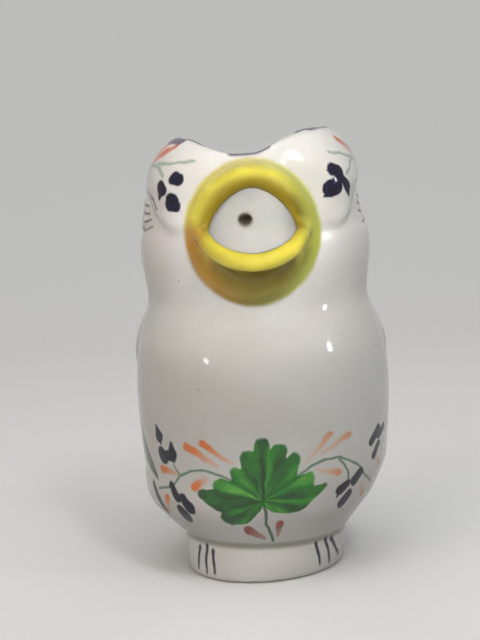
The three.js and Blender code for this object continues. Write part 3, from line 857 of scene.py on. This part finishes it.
def marks(place, strokes, soft=0.28, fade=0.0, at=round_jug):
    """Cover of a set of brush marks: full inside, gone at the edge, thinner towards the ends."""
    cover = None
    for start, end, start_radius, end_radius in strokes:
        edge, share = stroke(place, at(start), at(end), start_radius, end_radius)
        one = edge.ease(soft, -soft)
        if fade:
            one = one * share.maths("MULTIPLY_ADD", share, -fade, 1.0)
        cover = one if cover is None else cover.most(one)
    return cover


WHITE = tint(233, 230, 223)
RIM_COBALT, RIM_COBALT_THIN = tint(34, 24, 62), tint(72, 56, 112)
COBALT, COBALT_THIN = tint(8, 5, 20), tint(28, 22, 60)
ORANGE, ORANGE_THIN = tint(250, 136, 60), tint(240, 186, 142)
RED = tint(162, 50, 36)
STEM = tint(96, 138, 106)
LEAF_DARK, LEAF_MID, LEAF_LIGHT = tint(2, 64, 6), tint(32, 146, 30), tint(112, 204, 70)


def chain(*points):
    """A row of brush marks, each from one point to the next."""
    return list(zip(points, points[1:]))


# Brush marks: (degrees round, height) of the start and of the end, and the half width at each
BERRIES = [((-57.2, 50.4), (-55.2, 47.4), 0.6, 2.0), ((-55.2, 47.4), (-54.6, 45.2), 2.0, 0.5),
           ((-54.9, 42.6), (-53.0, 41.0), 1.7, 2.2), ((-53.0, 41.0), (-52.4, 39.4), 2.0, 0.7),
           ((-46.9, 45.9), (-46.7, 42.6), 0.6, 2.1), ((-46.7, 42.6), (-46.5, 41.3), 2.1, 1.4),
           ((-51.6, 41.6), (-48.4, 41.8), 1.6, 1.8), ((-49.4, 32.2), (-46.1, 28.9), 1.4, 1.6),
           ((-42.4, 28.8), (-39.4, 26.0), 1.6, 2.3), ((-46.0, 25.0), (-44.0, 22.4), 1.5, 2.2),
           ((-66.0, 30.9), (-62.6, 26.9), 0.9, 1.5), ((-62.4, 26.6), (-60.2, 23.4), 1.4, 1.9),
           ((62.3, 46.6), (56.4, 43.3), 1.6, 1.5), ((68.7, 46.6), (63.2, 44.5), 1.3, 1.3),
           ((63.1, 41.7), (58.7, 38.5), 1.3, 1.2), ((48.8, 34.8), (45.7, 32.3), 1.4, 1.9),
           ((41.2, 31.7), (37.4, 30.1), 1.3, 1.8), ((37.6, 30.0), (36.2, 27.9), 1.1, 0.4),
           ((44.0, 28.2), (41.1, 25.5), 1.6, 1.8)]
BUDS = [((-37.2, 46.0), (-22.0, 40.4), 1.45, 0.6), ((-28.7, 47.1), (-14.3, 41.2), 1.25, 0.5),
        ((-55.4, 37.0), (-44.2, 36.4), 1.4, 0.6), ((-34.8, 33.2), (-28.0, 36.3), 1.5, 0.7),
        ((-53.8, 28.1), (-55.8, 23.7), 1.2, 1.0), ((30.1, 48.7), (19.0, 41.3), 1.1, 0.5),
        ((40.4, 47.6), (26.1, 43.0), 1.1, 0.5), ((34.9, 36.2), (23.7, 38.4), 1.2, 0.5),
        ((57.0, 26.2), (52.3, 30.0), 1.3, 0.8), ((66.0, 35.0), (61.0, 38.0), 1.2, 0.5)]
ROOT_BUDS = [((-10.2, 19.2), (-2.0, 15.8), 1.7, 0.8), ((6.8, 21.2), (6.1, 16.6), 1.35, 0.7)]
TENDRILS = [*chain((-13.0, 35.2), (-20.0, 37.4), (-28.0, 38.9), (-36.0, 38.2), (-43.0, 36.0), (-47.0, 33.2),
                   (-52.0, 31.4), (-60.0, 30.3)), *chain((-43.0, 36.4), (-46.5, 39.2)),
            *chain((14.0, 36.6), (21.0, 39.7), (28.0, 41.0), (35.0, 40.8), (43.0, 38.6), (48.0, 36.6),
                   (53.0, 33.0), (62.0, 29.8)), *chain((35.0, 40.4), (40.0, 36.4), (42.0, 31.8))]
LEAF_EDGE = [(-180, 19.7), (-174, 18.1), (-167, 15.9), (-163, 14.7), (-159, 15.5), (-154, 15.8),
             (-147, 14.8), (-138, 12.3), (-127, 9.0), (-119, 5.7), (-114, 3.3), (-98, 1.4), (-77, 2.3),
             (-68, 3.5), (-55, 5.0), (-38, 7.8), (-24, 11.0), (-15, 13.6), (-8, 15.0), (-1, 17.0),
             (5, 19.1), (10.5, 20.4), (12.2, 18.4), (13.4, 16.3), (17, 16.4), (23, 17.1), (28, 17.0),
             (32, 15.5), (34.5, 12.9), (40, 13.8), (46, 16.2), (51, 17.4), (56, 17.7), (60, 17.0),
             (62, 15.0), (64.5, 17.1), (70, 18.3), (76, 18.0), (79.8, 17.2), (81.3, 16.2), (83.2, 18.5),
             (87, 19.6), (93, 19.6), (97, 18.5), (99.8, 16.0), (102, 16.3), (107, 16.5), (113, 15.6),
             (119, 13.9), (123.5, 12.0), (127, 13.2), (134, 13.6), (141, 13.0), (146.8, 11.8), (150, 14.3),
             (155, 15.9), (161, 16.7), (165.5, 16.5), (167.2, 15.9), (169.2, 18.5), (172, 20.8),
             (175, 21.4), (180, 19.7)]
# Tone of its brush marks, from dark at the veins to light between them
LEAF_TONE = [(-180, 0.25), (-168, 0.15), (-158, 0.45), (-148, 0.25), (-136, 0.6), (-126, 0.4), (-90, 0.45),
             (-40, 0.75), (-28, 0.35), (-14, 0.3), (-4, 0.6), (4, 0.25), (12, 0.35), (20, 0.6), (27, 0.8),
             (36, 0.35), (46, 0.55), (54, 0.3), (62, 0.5), (70, 0.3), (78, 0.55), (84, 0.35), (90, 0.0),
             (95, 0.35), (103, 0.55), (112, 0.3), (122, 0.6), (132, 0.75), (142, 0.45), (152, 0.95),
             (160, 1.0), (167, 0.45), (174, 0.1), (180, 0.25)]
LEAF_AT = (-1.1, 29.6)
STALK = chain(LEAF_AT, (-0.2, 21.0), (3.5, 14.6))
LONGEST_LOBE = 24
LEFT_LEAF, RIGHT_LEAF = -106, 114  # where the leaves stand on the sides, in degrees from the front
BLADE = [((-91.0, 60.5), (-84.5, 51.0), 0.4, 3.2), ((-84.5, 51.0), (-76.0, 42.2), 3.2, 3.5),
         ((-76.0, 42.2), (-67.6, 36.8), 3.5, 2.3), ((-67.6, 36.8), (-61.5, 33.4), 2.3, 0.6)]
SIDE_LIFT, SIDE_TILT = 4, 12  # those leaves sit higher and lean
HEAD_DOTS = [((-49.0, 124.8), (-48.0, 123.4), 1.6, 2.0), ((-48.0, 123.4), (-49.6, 121.1), 1.9, 0.7),
             ((-41.4, 126.6), (-39.4, 126.2), 2.0, 1.9), ((-42.9, 120.4), (-41.5, 120.2), 1.9, 1.9),
             ((-43.0, 118.9), (-41.2, 118.7), 2.2, 2.1), ((41.8, 127.4), (44.8, 126.9), 2.0, 2.0),
             ((41.4, 127.4), (38.9, 127.3), 1.3, 0.4), ((45.0, 126.2), (44.2, 124.4), 1.7, 1.5),
             ((39.4, 122.0), (42.0, 122.3), 2.6, 2.6), ((38.4, 120.6), (36.1, 119.7), 1.5, 0.4),
             ((46.4, 124.8), (49.6, 122.0), 1.3, 1.6), ((49.6, 122.0), (51.0, 119.2), 1.6, 0.4)]
HEAD_BUDS = [((-52.5, 136.3), (-59.0, 134.4), 0.9, 1.5), ((-59.0, 134.4), (-72.0, 131.9), 1.5, 1.6),
             ((-63.0, 137.0), (-74.0, 134.2), 0.9, 1.3), ((60.6, 136.2), (75.0, 132.6), 1.4, 1.8),
             ((-116.0, 133.0), (-104.0, 135.0), 1.4, 0.8), ((116.0, 133.0), (104.0, 135.0), 1.4, 0.8)]
HEAD_STEMS = [*chain((-33.8, 131.5), (-52.0, 131.0), (-74.0, 130.6), (-84.0, 129.4)),
              *chain((-64.0, 130.4), (-55.3, 129.8), (-48.8, 127.4)),
              *chain((44.1, 132.7), (66.0, 130.8), (82.0, 129.2)),
              *chain((65.0, 130.5), (58.0, 129.0), (50.2, 126.0)),
              ((-84.0, 129.4), (-112.0, 131.4)), ((82.0, 129.2), (112.0, 131.4))]
# The left eye; the right one is its mirror image, but for the lid's front end and the lashes
LIDS = chain((-100.0, 117.6), (-89.0, 121.4), (-75.0, 122.4), (-64.0, 121.8))
LEFT_LID_END = chain((-64.0, 121.8), (-56.8, 120.5), (-53.2, 117.6))
RIGHT_LID_END = [((64.0, 121.8), (60.6, 123.6))]
LASHES = [((-74.0, 118.4), (-67.8, 118.2)), ((-74.4, 115.9), (-67.4, 116.0)),
          ((-74.4, 113.2), (-66.4, 113.8)), *chain((-92.0, 111.6), (-76.0, 110.2), (-62.0, 111.6))]
RIGHT_LASHES = [((73.0, 118.8), (77.6, 118.2)), ((72.4, 116.4), (77.0, 116.0)),
                ((72.0, 114.0), (77.4, 113.6)), ((92.0, 111.6), (72.0, 110.4))]
PUPIL = ((-81.8, 116.8), (-80.8, 114.6), 2.5, 2.3)
IRIS = chain((-86.4, 118.0), (-87.4, 115.2), (-84.6, 112.6))
# Dashes along the rim: degrees round, half length in degrees, and how far outside the crest
RIM_MARKS = [(-2, 15, 1.0), (70, 30, 1.0), (127, 15, 0.4), (176, 16, 0.2), (-134, 16, 0.6), (-62, 12, 3.2)]
TOES = [((-53.4, 9.9), (-55.1, 3.0)), ((-45.9, 10.8), (-46.2, 2.2)), ((-40.1, 9.5), (-38.7, 2.8)),
        ((36.0, 11.0), (42.3, 3.4)), ((44.6, 12.0), (53.3, 2.9)), ((51.2, 11.0), (66.2, 3.9))]


def mirrored(lines):
    return [((-start[0], start[1]), (-end[0], end[1]), *rest) for start, end, *rest in lines]


def thin(lines, start_radius, end_radius):
    return [(*line, start_radius, end_radius) for line in lines]


TREMBLE = 1.3  # millimetres that a hand-held brush strays


def brushed(wire):
    """Place on the paint map, with the slight tremble of a hand-held brush."""
    flat = wire.node("ShaderNodeUVMap", uv_map="paint")
    tremble = wire.noise(flat, 0.22, 1.0, output=1)
    shaken = flat.vector("MULTIPLY_ADD", tremble, (TREMBLE, TREMBLE, 0), flat)
    return flat.vector("SUBTRACT", shaken, (TREMBLE / 2, TREMBLE / 2, 0))


def around(place, left, right, left_limit, right_limit):
    """The same place as seen from the nearest of three centres, and whether it is on a side."""
    across, = place.parts(0)
    scale = DEGREE * PAINT_RADIUS
    on_left, on_right = (left_limit * scale - across).over(0), across.over(right_limit * scale)
    shift = on_left * (-left * scale) - on_right * (right * scale)
    return place.vector("ADD", place, shift.flat(shift, 0.0)), on_left + on_right


def glaze(material, wire, colour, roughness=0.1, ripple=0.25):
    """Fired tin glaze over the colour: glossy, with faint ripples and pinholes."""
    place = wire.own_place()
    wave = wire.noise(place, 55.0, 2.0)
    fine = wire.noise(place, 420.0, 2.0)
    pits = wire.node("ShaderNodeTexVoronoi", {"Vector": place, "Scale": 260.0})
    pit = pits.ease(0.13, 0.03)
    height = wave + fine * 0.04 - pit * 0.25 * wire.noise(place, 60.0).ease(0.6, 0.7)
    bump = wire.node("ShaderNodeBump", {"Height": height, "Strength": ripple, "Distance": 0.0006})
    gloss = fine.maths("MULTIPLY_ADD", wave, 0.10, roughness - 0.04)
    shader = wire.node("ShaderNodeBsdfPrincipled", {
        "Base Color": colour, "Roughness": gloss, "Normal": bump, "IOR": 1.45,
        "Coat Weight": 0.15, "Coat Roughness": 0.05})
    wire.node("ShaderNodeOutputMaterial", {0: shader})
    return material


def new_material(name):
    material = bpy.data.materials.new(name)
    material.use_nodes = True
    material.node_tree.nodes.clear()
    return material, Wire(material.node_tree)


def layered(ground, *layers):
    """The ground with more glaze over it, each layer given as its cover and its colour."""
    for cover, colour in layers:
        ground = cover.blend(ground, colour)
    return ground


def white_ground(wire):
    """White tin glaze: thin and warm in places, specked, greyer in a narrow band along the crease above the
    foot.
    """
    place = wire.own_place()
    cloud = wire.noise(place, 28.0, 3.0)
    white = cloud.ease(0.3, 0.75).blend(tint(236, 234, 229), tint(229, 224, 214))
    cells = wire.node("ShaderNodeTexVoronoi", {"Vector": place, "Scale": 210.0})
    rare = wire.node("ShaderNodeTexVoronoi", {"Vector": place, "Scale": 210.0}, 1)
    rare = wire.node("ShaderNodeSeparateColor", {0: rare})
    speck = cells.ease(0.12, 0.05) * rare.over(0.94)
    across, deep, height = place.parts(0, 1, 2)
    # Greyer in a narrow band along the crease between the foot and the belly
    crease_grey = abs(height - CREASE * MM).ease(0.0018, 0.0003)
    off_axis = ((across - HANDLE_SET_OVER * MM) ** 2.0 + (height - HANDLE_TOP * MM) ** 2.0) ** 0.5
    drain = off_axis.ease(0.0034, 0.0018) * deep.over(0.0252)
    white = layered(white, (speck * 0.5, tint(140, 122, 106)), (crease_grey * 0.75, tint(150, 148, 130)),
                    (drain * 0.8, tint(118, 92, 68)))
    return white, place


def beak_spread(place):
    """Share of the way out from the beak's middle: 1 at its outer edge."""
    parts = place.parts(0, 1, 2)
    across = (parts[0] - BEAK_SET_OVER * MM) / (BEAK_HALF_WIDTH * MM)
    up = (parts[2] - BEAK_HEIGHT * MM) / (BEAK_HALF_HEIGHT * MM)
    return (across * across + up * up) ** 0.5, parts


LEFT_CORNER = (-0.0192, 0.1088)  # across and up in metres, where the glaze gathered orange


def yellow_paint(wire, place, spread, parts):
    """Yellow of the beak: bright on the crests, with painted shade in olive on the arch's inner slope, on
    the jaw and under the lip, orange at the lower left.
    """
    across, _, height = parts
    cloud = wire.noise(place, 110.0, 3.0)
    yellow = cloud.ease(0.3, 0.7).blend(tint(222, 208, 72), tint(208, 192, 56))
    upper = height.ease((CORNER_HEIGHT - 1) * MM, (CORNER_HEIGHT + 3) * MM)
    # Painted shade: olive on the upper arch's inner slope, which faces down into the mouth
    inner = (spread + cloud * 0.08).ease(0.9, 0.77) * upper
    lip = abs((across - LIP_SET_OVER * MM) / (LIP_HALF_WIDTH * MM)).least(1.0)
    # Painted shade under the lip roll: dark olive in the undercut and olive over the jaw, which faces down
    beneath = (1.0 - lip * lip) ** 0.57 * (-LIP_SAG * MM) + LIP_CORNER_HEIGHT * MM - height
    undercut_shade = beneath.ease(0.0018, 0.0038) * beneath.ease(0.011, 0.005) * lip.ease(1.0, 0.78)
    jaw_shade = beneath.ease(0.002, 0.009)
    # Painted shade: darker greenish olive on the inner half of the beak's right side
    shaded_green_side = across.ease(0.006, 0.015) * spread.ease(0.66, 0.82)
    thin_edge = spread.ease(0.84, 1.0) * across.ease(-0.004, 0.016)
    low_left = across.ease(0.002, -0.016) * (height - BEAK_HEIGHT * MM).ease(0.004, -0.008)
    corner = ((across - LEFT_CORNER[0]) ** 2.0 + ((height - LEFT_CORNER[1]) * 0.7) ** 2.0) ** 0.5
    return layered(yellow, (inner * 0.8, tint(156, 130, 34)), (jaw_shade * 0.8, tint(118, 108, 42)),
                   ((undercut_shade * (cloud * 0.5 + 0.65)).least(0.95), tint(98, 80, 10)),
                   (shaded_green_side * 0.6, tint(142, 152, 62)), (thin_edge * 0.7, tint(196, 200, 80)),
                   (low_left * spread.ease(0.6, 0.95) * 0.7, tint(198, 142, 36)),
                   (corner.ease(0.0052, 0.001) * 0.7, tint(188, 122, 22)))


def body_glaze(name, painted):
    material, wire = new_material(name)
    colour, place = white_ground(wire)
    if painted:
        flat = brushed(wire)
        grain = wire.noise(flat.vector("MULTIPLY", flat, (0.9, 0.35, 0)), 1.0, 3.0).ease(0.3, 0.7)
        colour = painted(wire, colour, flat, grain)
    spread, parts = beak_spread(place)
    fringe_noise = wire.noise(place, 160.0, 2.0)
    front = (parts[1] * -1.0).ease(0.0235, 0.0265)
    fringe = (spread + fringe_noise * 0.04).ease(1.085, 1.0) * front
    colour = fringe.blend(colour, yellow_paint(wire, place, spread, parts))
    return glaze(material, wire, colour)


def in_cobalt(cover, colour, grain):
    """Cobalt over the colour, thinner where the brush ran dry."""
    return cover.blend(colour, grain.blend(COBALT, COBALT_THIN))


def belly_paint(wire, colour, flat, grain):
    """Band round the belly: vine leaves, tendrils, orange buds and cobalt berries."""
    spray, _ = around(flat, LEFT_LEAF, RIGHT_LEAF - 2, -110, 100)
    spot, aside = around(flat, LEFT_LEAF, RIGHT_LEAF, -46, 58)
    spot = spot.vector("ADD", spot, wire.flat(0.0, aside * -SIDE_LIFT))
    stems = marks(spray, thin(TENDRILS, 0.42, 0.38), 0.25)
    colour = (stems * 0.85).blend(colour, STEM)
    bolder = spray.parts(0)[0].ease(14.0, -8.0) * 0.25 + 0.75
    buds = marks(spray, BUDS, 0.55, 0.55) * bolder
    colour = (buds * 1.1).least(0.95).blend(colour, buds.ease(0.4, 0.95).blend(ORANGE_THIN, ORANGE))
    roots = marks(spot, ROOT_BUDS, 0.35, 0.4)
    colour = (roots * 0.9).blend(colour, grain.blend(RED, tint(182, 72, 50)))
    stalk = marks(spot, thin(STALK, 0.6, 0.5), 0.25)
    colour = (stalk * 0.9).blend(colour, tint(70, 104, 72))
    colour = leaf_paint(wire, colour, spot, aside)
    blade = marks(flat, BLADE, 0.5)
    colour = (blade * 0.95).blend(colour, grain.blend(LEAF_DARK, tint(50, 96, 48)))
    berries = marks(spray, BERRIES, 0.35)
    return in_cobalt(berries, colour, grain)


def leaf_paint(wire, colour, spot, aside):
    local = spot.vector("SUBTRACT", spot, (*round_jug(LEAF_AT), 0))
    local = wire.node("ShaderNodeVectorRotate", {"Vector": local, "Angle": aside * (SIDE_TILT * DEGREE)},
                      rotation_type="Z_AXIS")
    x, y = local.parts(0, 1)
    turn = wire.maths("ARCTAN2", y, x) / (2 * math.pi) + 0.5
    out = local.vector("LENGTH", local, output=1)

    def round_curve(table, scale):
        return wire.node("ShaderNodeFloatCurve", {1: turn},
                         curve=[(angle / 360 + 0.5, value / scale) for angle, value in table])

    edge = round_curve(LEAF_EDGE, LONGEST_LOBE) * LONGEST_LOBE
    inside = (out - edge).ease(0.5, -0.5)
    streak = wire.noise(wire.flat(turn * 17, out * 0.09), 1.0, 3.0).ease(0.25, 0.75)
    rim = (out / edge).ease(0.72, 0.98)
    tone = round_curve(LEAF_TONE, 1) * 0.7 + streak * 0.42 - rim * 0.04 - 0.04
    green = wire.node("ShaderNodeValToRGB", {0: tone}, stops=[
        (0.0, LEAF_DARK), (0.3, tint(18, 90, 20)), (0.6, LEAF_MID), (1.0, LEAF_LIGHT)])
    vein = abs(x).ease(0.7, 0.1) * y.ease(-1.0, 0.5) * y.ease(19.0, 12.0)
    green = (vein * 0.8).blend(green, LEAF_DARK)
    return (inside * 0.96).blend(colour, green)


def head_paint(wire, colour, flat, grain):
    """Head: stems, orange buds, cobalt spots and the lids and lashes of the eyes."""
    stems = marks(flat, thin(HEAD_STEMS, 0.5, 0.42), 0.4)
    colour = (stems * 0.62).blend(colour, tint(98, 136, 104))
    colour = head_buds(colour, flat)
    lids = LIDS + mirrored(LIDS) + LEFT_LID_END + RIGHT_LID_END
    lids = marks(flat, thin(lids, 0.75, 0.55), 0.4)
    lashes = LASHES + IRIS + mirrored(IRIS) + RIGHT_LASHES
    lashes = marks(flat, thin(lashes, 0.5, 0.36), 0.3)
    pupils = marks(flat, [PUPIL, *mirrored([PUPIL])], 0.35)
    colour = ((lids * 0.75).most(lashes * 0.7).most(pupils * 0.95)).blend(colour, COBALT)
    dots = marks(flat, HEAD_DOTS, 0.35)
    return in_cobalt(dots, colour, grain)


def head_buds(colour, flat):
    buds = marks(flat, HEAD_BUDS, 0.5, 0.3)
    return (buds * 0.95).blend(colour, buds.ease(0.3, 0.9).blend(ORANGE_THIN, tint(216, 96, 66)))


def rim_paint(wire, colour, flat, grain):
    """Cobalt dashes laid along the crest of the rim, over the tips of the buds."""
    drop = wire.node("ShaderNodeAttribute", output=2, attribute_name="rim_drop")
    colour = drop.ease(0.4, 1.4).blend(colour, head_buds(colour, flat))
    crest = wire.flat(flat.parts(0)[0], drop)
    dashes = [((turn - half + 3, out), (turn + half - 3, out), 2.1, 1.9) for turn, half, out in RIM_MARKS]
    cover = marks(crest, dashes, 0.6)
    return (cover * 0.88).blend(colour, grain.blend(RIM_COBALT, RIM_COBALT_THIN))


def toe_paint(wire, colour, flat, grain):
    toes = marks(flat, thin(TOES, 0.92, 0.6), 0.45)
    return in_cobalt(toes * 0.95, colour, grain)


WING_QUILLS = [((137.5, 67.6), (149.5, 63.4)), ((133.0, 64.0), (146.5, 59.8)),
               ((128.5, 60.6), (140.0, 57.2))]
WING_BARBS = [((112.0, 73.5), (119.0, 71.6)), ((110.5, 69.5), (117.5, 67.6)),
              ((109.5, 65.4), (116.5, 63.5)), ((122.5, 73.2), (129.5, 71.2)),
              ((121.0, 69.2), (128.0, 67.2)), ((120.0, 65.0), (127.0, 63.0))]


def wing_paint(wire, colour, flat, grain):
    """Wings: long cobalt strokes on the pinions and short green ones on the coverts."""
    barbs = marks(flat, thin(WING_BARBS + mirrored(WING_BARBS), 0.75, 0.3), 0.4)
    colour = (barbs * 0.8).blend(colour, STEM)
    quills = marks(flat, thin(WING_QUILLS + mirrored(WING_QUILLS), 1.2, 0.45), 0.4)
    return in_cobalt(quills * 0.95, colour, grain)


def plan_place(wire, axes):
    """Place in millimetres on a flat plan of the jug along two axes, with the brush's tremble."""
    place = wire.own_place()
    across, up = place.parts(*axes)
    flat = wire.flat(across / MM, up / MM)
    tremble = wire.noise(flat, 0.25, 1.5, output=1)
    return flat.vector("MULTIPLY_ADD", tremble, (1.4, 1.4, 0), flat)


def handle_paint(wire, colour, flat, grain):
    """Handle: short cobalt dashes across its back."""
    dashes = [((HANDLE_SET_OVER - 2.6 + low / 40, height), (HANDLE_SET_OVER + 3.4 + low / 40, height + 0.8))
              for low, height in ((0, 104), (8, 97), (20, 90), (34, 83), (48, 76), (60, 69))]
    cover = marks(plan_place(wire, (0, 2)), thin(dashes, 1.1, 0.7), 0.4, at=as_it_is)
    out, height = wire.own_place().parts(1, 2)
    outside = (out + (abs(height - 0.086) * 0.34)).ease(0.0655, 0.0668)
    return in_cobalt(cover * outside * 0.95, colour, grain)


def tail_paint(wire, colour, flat, grain):
    """Tail: one long stroke on each feather."""
    strokes = [((-6.4, 43.6), (-8.6, 50.0)), ((0.4, 44.0), (0.4, 51.2)), ((7.2, 43.6), (9.4, 50.0))]
    cover = marks(plan_place(wire, (0, 1)), thin(strokes, 0.5, 1.3), 0.4, at=as_it_is)
    return in_cobalt(cover * 0.95, colour, grain)


def yellow_glaze():
    material, wire = new_material("yellow_glaze")
    place = wire.own_place()
    spread, parts = beak_spread(place)
    colour = yellow_paint(wire, place, spread, parts)
    fringe = (spread + wire.noise(place, 160.0, 2.0) * 0.04).ease(1.085, 1.0)
    colour = fringe.blend(WHITE, colour)
    return glaze(material, wire, colour, 0.12)


def bare_clay():
    """Unglazed buff earthenware of the standing face, scuffed by shelves."""
    material, wire = new_material("bare_clay")
    place = wire.own_place()
    grit = wire.noise(place, 900.0, 4.0)
    colour = grit.ease(0.3, 0.7).blend(tint(214, 190, 158), tint(186, 156, 122))
    bump = wire.node("ShaderNodeBump", {"Height": grit, "Strength": 0.4, "Distance": 0.0003})
    shader = wire.node("ShaderNodeBsdfPrincipled", {"Base Color": colour, "Roughness": 0.85, "Normal": bump})
    wire.node("ShaderNodeOutputMaterial", {0: shader})
    return material


plain = body_glaze("white_glaze", None)
clay = fused_clay(plain)
pieces = parted(lightened(clay), plain)
for name in pieces:
    pieces[name] = with_clay_normals(pieces[name], clay)
remove(clay)

glazes = {"plain": plain, "yellow": yellow_glaze(), "bare": bare_clay()}
for name, painted in (("belly", belly_paint), ("head", head_paint), ("rim", rim_paint), ("foot", toe_paint),
                      ("wing", wing_paint), ("handle", handle_paint), ("tail", tail_paint)):
    glazes[name] = body_glaze(name + "_glaze", painted)


def set_glazes(piece, names, chosen):
    piece.data.materials.clear()
    for name in names:
        piece.data.materials.append(glazes[name])
    piece.data.polygons.foreach_set("material_index", np.asarray(chosen, np.int32))
    piece.data.update()


HEAD_PAINT_FROM, BELLY_PAINT_UP_TO, RIM_PAINT_REACH = 104, 64, 7.5
for name, piece in pieces.items():
    mesh = piece.data
    paint_map(mesh)
    centre = numbers(mesh.polygons, "center", width=3) / MM
    if name == "body_shell":
        drop = rim_drop(centre)
        inside = inner_faces(centre)
        near_rim = (np.abs(drop) < RIM_PAINT_REACH) & (centre[:, 2] > NECK_HEIGHT)
        on_head, on_belly = centre[:, 2] > HEAD_PAINT_FROM, centre[:, 2] < BELLY_PAINT_UP_TO
        chosen = np.select([near_rim, inside, on_head, on_belly], [3, 0, 2, 1], 0)
        set_glazes(piece, ("plain", "belly", "head", "rim"), chosen)
        crest = mesh.attributes.new("rim_drop", "FLOAT", "POINT")
        crest.data.foreach_set("value", rim_drop(vertex_places(mesh)))
    elif name == "foot":
        faces_down = numbers(mesh.polygons, "normal", width=3)[:, 2] < -0.9
        standing = faces_down & (centre[:, 2] < 0.6)
        set_glazes(piece, ("foot", "bare"), np.where(standing, 1, 0))
    elif "beak" in name:
        set_glazes(piece, ("yellow",), np.zeros(len(centre)))
    else:
        only = "head" if "eye" in name else name.split("_")[0]
        set_glazes(piece, (only,), np.zeros(len(centre)))
    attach(piece, "root")
    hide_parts(name)
    "yellow_glaze" if "beak" in name else "white_glaze"

# The photo's lens, fitted to the jug's outline: place and focal length in millimetres, tilts in degrees
LENS_AT, FOCAL_LENGTH, LOOK_DOWN, ROLL = (-5.7, -450, 140), 79.37, 7.63, 2.3
camera = placed("camera", bpy.data.cameras.new("camera"))
bpy.context.scene.camera = camera
camera.location = Vector(LENS_AT) * MM
camera.data.sensor_width = 36
camera.data.lens = FOCAL_LENGTH
camera.data.clip_start = 0.01
camera.rotation_euler = (Matrix.Rotation((90 - LOOK_DOWN) * DEGREE, 3, "X")
                         @ Matrix.Rotation(-ROLL * DEGREE, 3, "Z")).to_euler()

turn_up = [(0.5 + 0.6 * math.sin(a), 0.6 - 0.6 * math.cos(a)) for a in np.linspace(0, math.pi / 2, 24)]
sweep = [(-2.0, 0.0), *turn_up, (1.1, 2.6)]
corners = [(x * 1000, out * 1000, up * 1000) for out, up in sweep for x in (-2.5, 2.5)]
strips = [(2 * row, 2 * row + 1, 2 * row + 3, 2 * row + 2) for row in range(len(sweep) - 1)]
floor = piece_from("floor", corners, strips)
floor.data.shade_smooth()
PALE, FLOOR_PALE, FLOOR_DIM = tint(188, 188, 186), tint(246, 245, 243), tint(124, 122, 120)


def seen_share(wire):
    """1 where the lens, a gloss or a clear surface sees the studio, 0 where it only gives light."""
    lens, gloss, clear = (wire.node("ShaderNodeLightPath", output=ray) for ray in (0, 3, 6))
    return lens.most(gloss).most(clear)


pale, wire = new_material("pale_floor")
seen = seen_share(wire)
matt = wire.node("ShaderNodeBsdfPrincipled", {
    "Base Color": seen.blend(FLOOR_DIM, FLOOR_PALE), "Roughness": 0.85, "Specular IOR Level": 0.1})
place = wire.own_place()
far_off = place.vector("LENGTH", place, output=1).ease(0.25, 0.9)
glow = wire.node("ShaderNodeEmission", {0: PALE})
floor_look = wire.node("ShaderNodeMixShader", {0: far_off * seen, 1: matt, 2: glow})
wire.node("ShaderNodeOutputMaterial", {0: floor_look})
floor.data.materials.append(pale)

LAMPS = {  # degrees to the right of the lens, degrees up, metres away, width, height, watts
    "window": (62, 17, 0.75, 0.05, 0.12, 0.6), "glint": (-48, 10, 0.6, 0.035, 0.045, 0.12),
    "skylight": (22, 47, 0.8, 0.10, 0.18, 1.0), "top": (0, 74, 1.1, 0.9, 0.9, 4.6),
    "front": (-42, 30, 1.5, 1.4, 1.0, 4.4), "flash": (-0.7, 7.9, 0.465, 0.03, 0.03, 0.0072),
    "footlight": (-6, 9, 0.62, 0.05, 0.05, 0.0017), "backdrop": (180, 50, 1.3, 1.6, 0.8, 4.0)}
MIDDLE = (0, 0, 0.08)
AIMS = {"backdrop": (0, 1.0, 0.2), "flash": (0, 0, 0.112), "footlight": (0, 0, 0)}
SPREADS = {"flash": 12, "footlight": 4.5}
MIRRORED = ("window", "glint", "skylight")  # the lamps that the glaze reflects
TINTS = {"window": (0.86, 0.94, 1.0), "front": (1.0, 0.90, 0.80)}
for name, (turn, climb, away, wide, tall, watts) in LAMPS.items():
    lamp = placed(name, bpy.data.lights.new(name, "AREA"))
    lamp.data.shape, lamp.data.size, lamp.data.size_y, lamp.data.energy = "RECTANGLE", wide, tall, watts
    level = away * math.cos(climb * DEGREE)
    spot = Vector((level * math.sin(turn * DEGREE), -level * math.cos(turn * DEGREE),
                   MIDDLE[2] + away * math.sin(climb * DEGREE)))
    aim = Vector(AIMS.get(name, MIDDLE))
    lamp.data.spread = SPREADS.get(name, 180) * DEGREE
    lamp.visible_glossy = name in MIRRORED
    lamp.data.color = TINTS.get(name, (1, 1, 1))
    lamp.location = spot
    lamp.rotation_euler = (aim - spot).to_track_quat("-Z", "Y").to_euler()

world = bpy.data.worlds.new("studio")
bpy.context.scene.world = world
world.use_nodes = True
world.node_tree.nodes.clear()
wire = Wire(world.node_tree)
light = wire.node("ShaderNodeBackground", {0: (0.86, 0.87, 0.88, 1), 1: 0.2})
sky = wire.node("ShaderNodeBackground", {0: PALE, 1: 1.0})
studio = wire.node("ShaderNodeMixShader", {0: seen_share(wire), 1: light, 2: sky})
wire.node("ShaderNodeOutputWorld", {0: studio})
bpy.context.scene.view_settings.view_transform = "Standard"
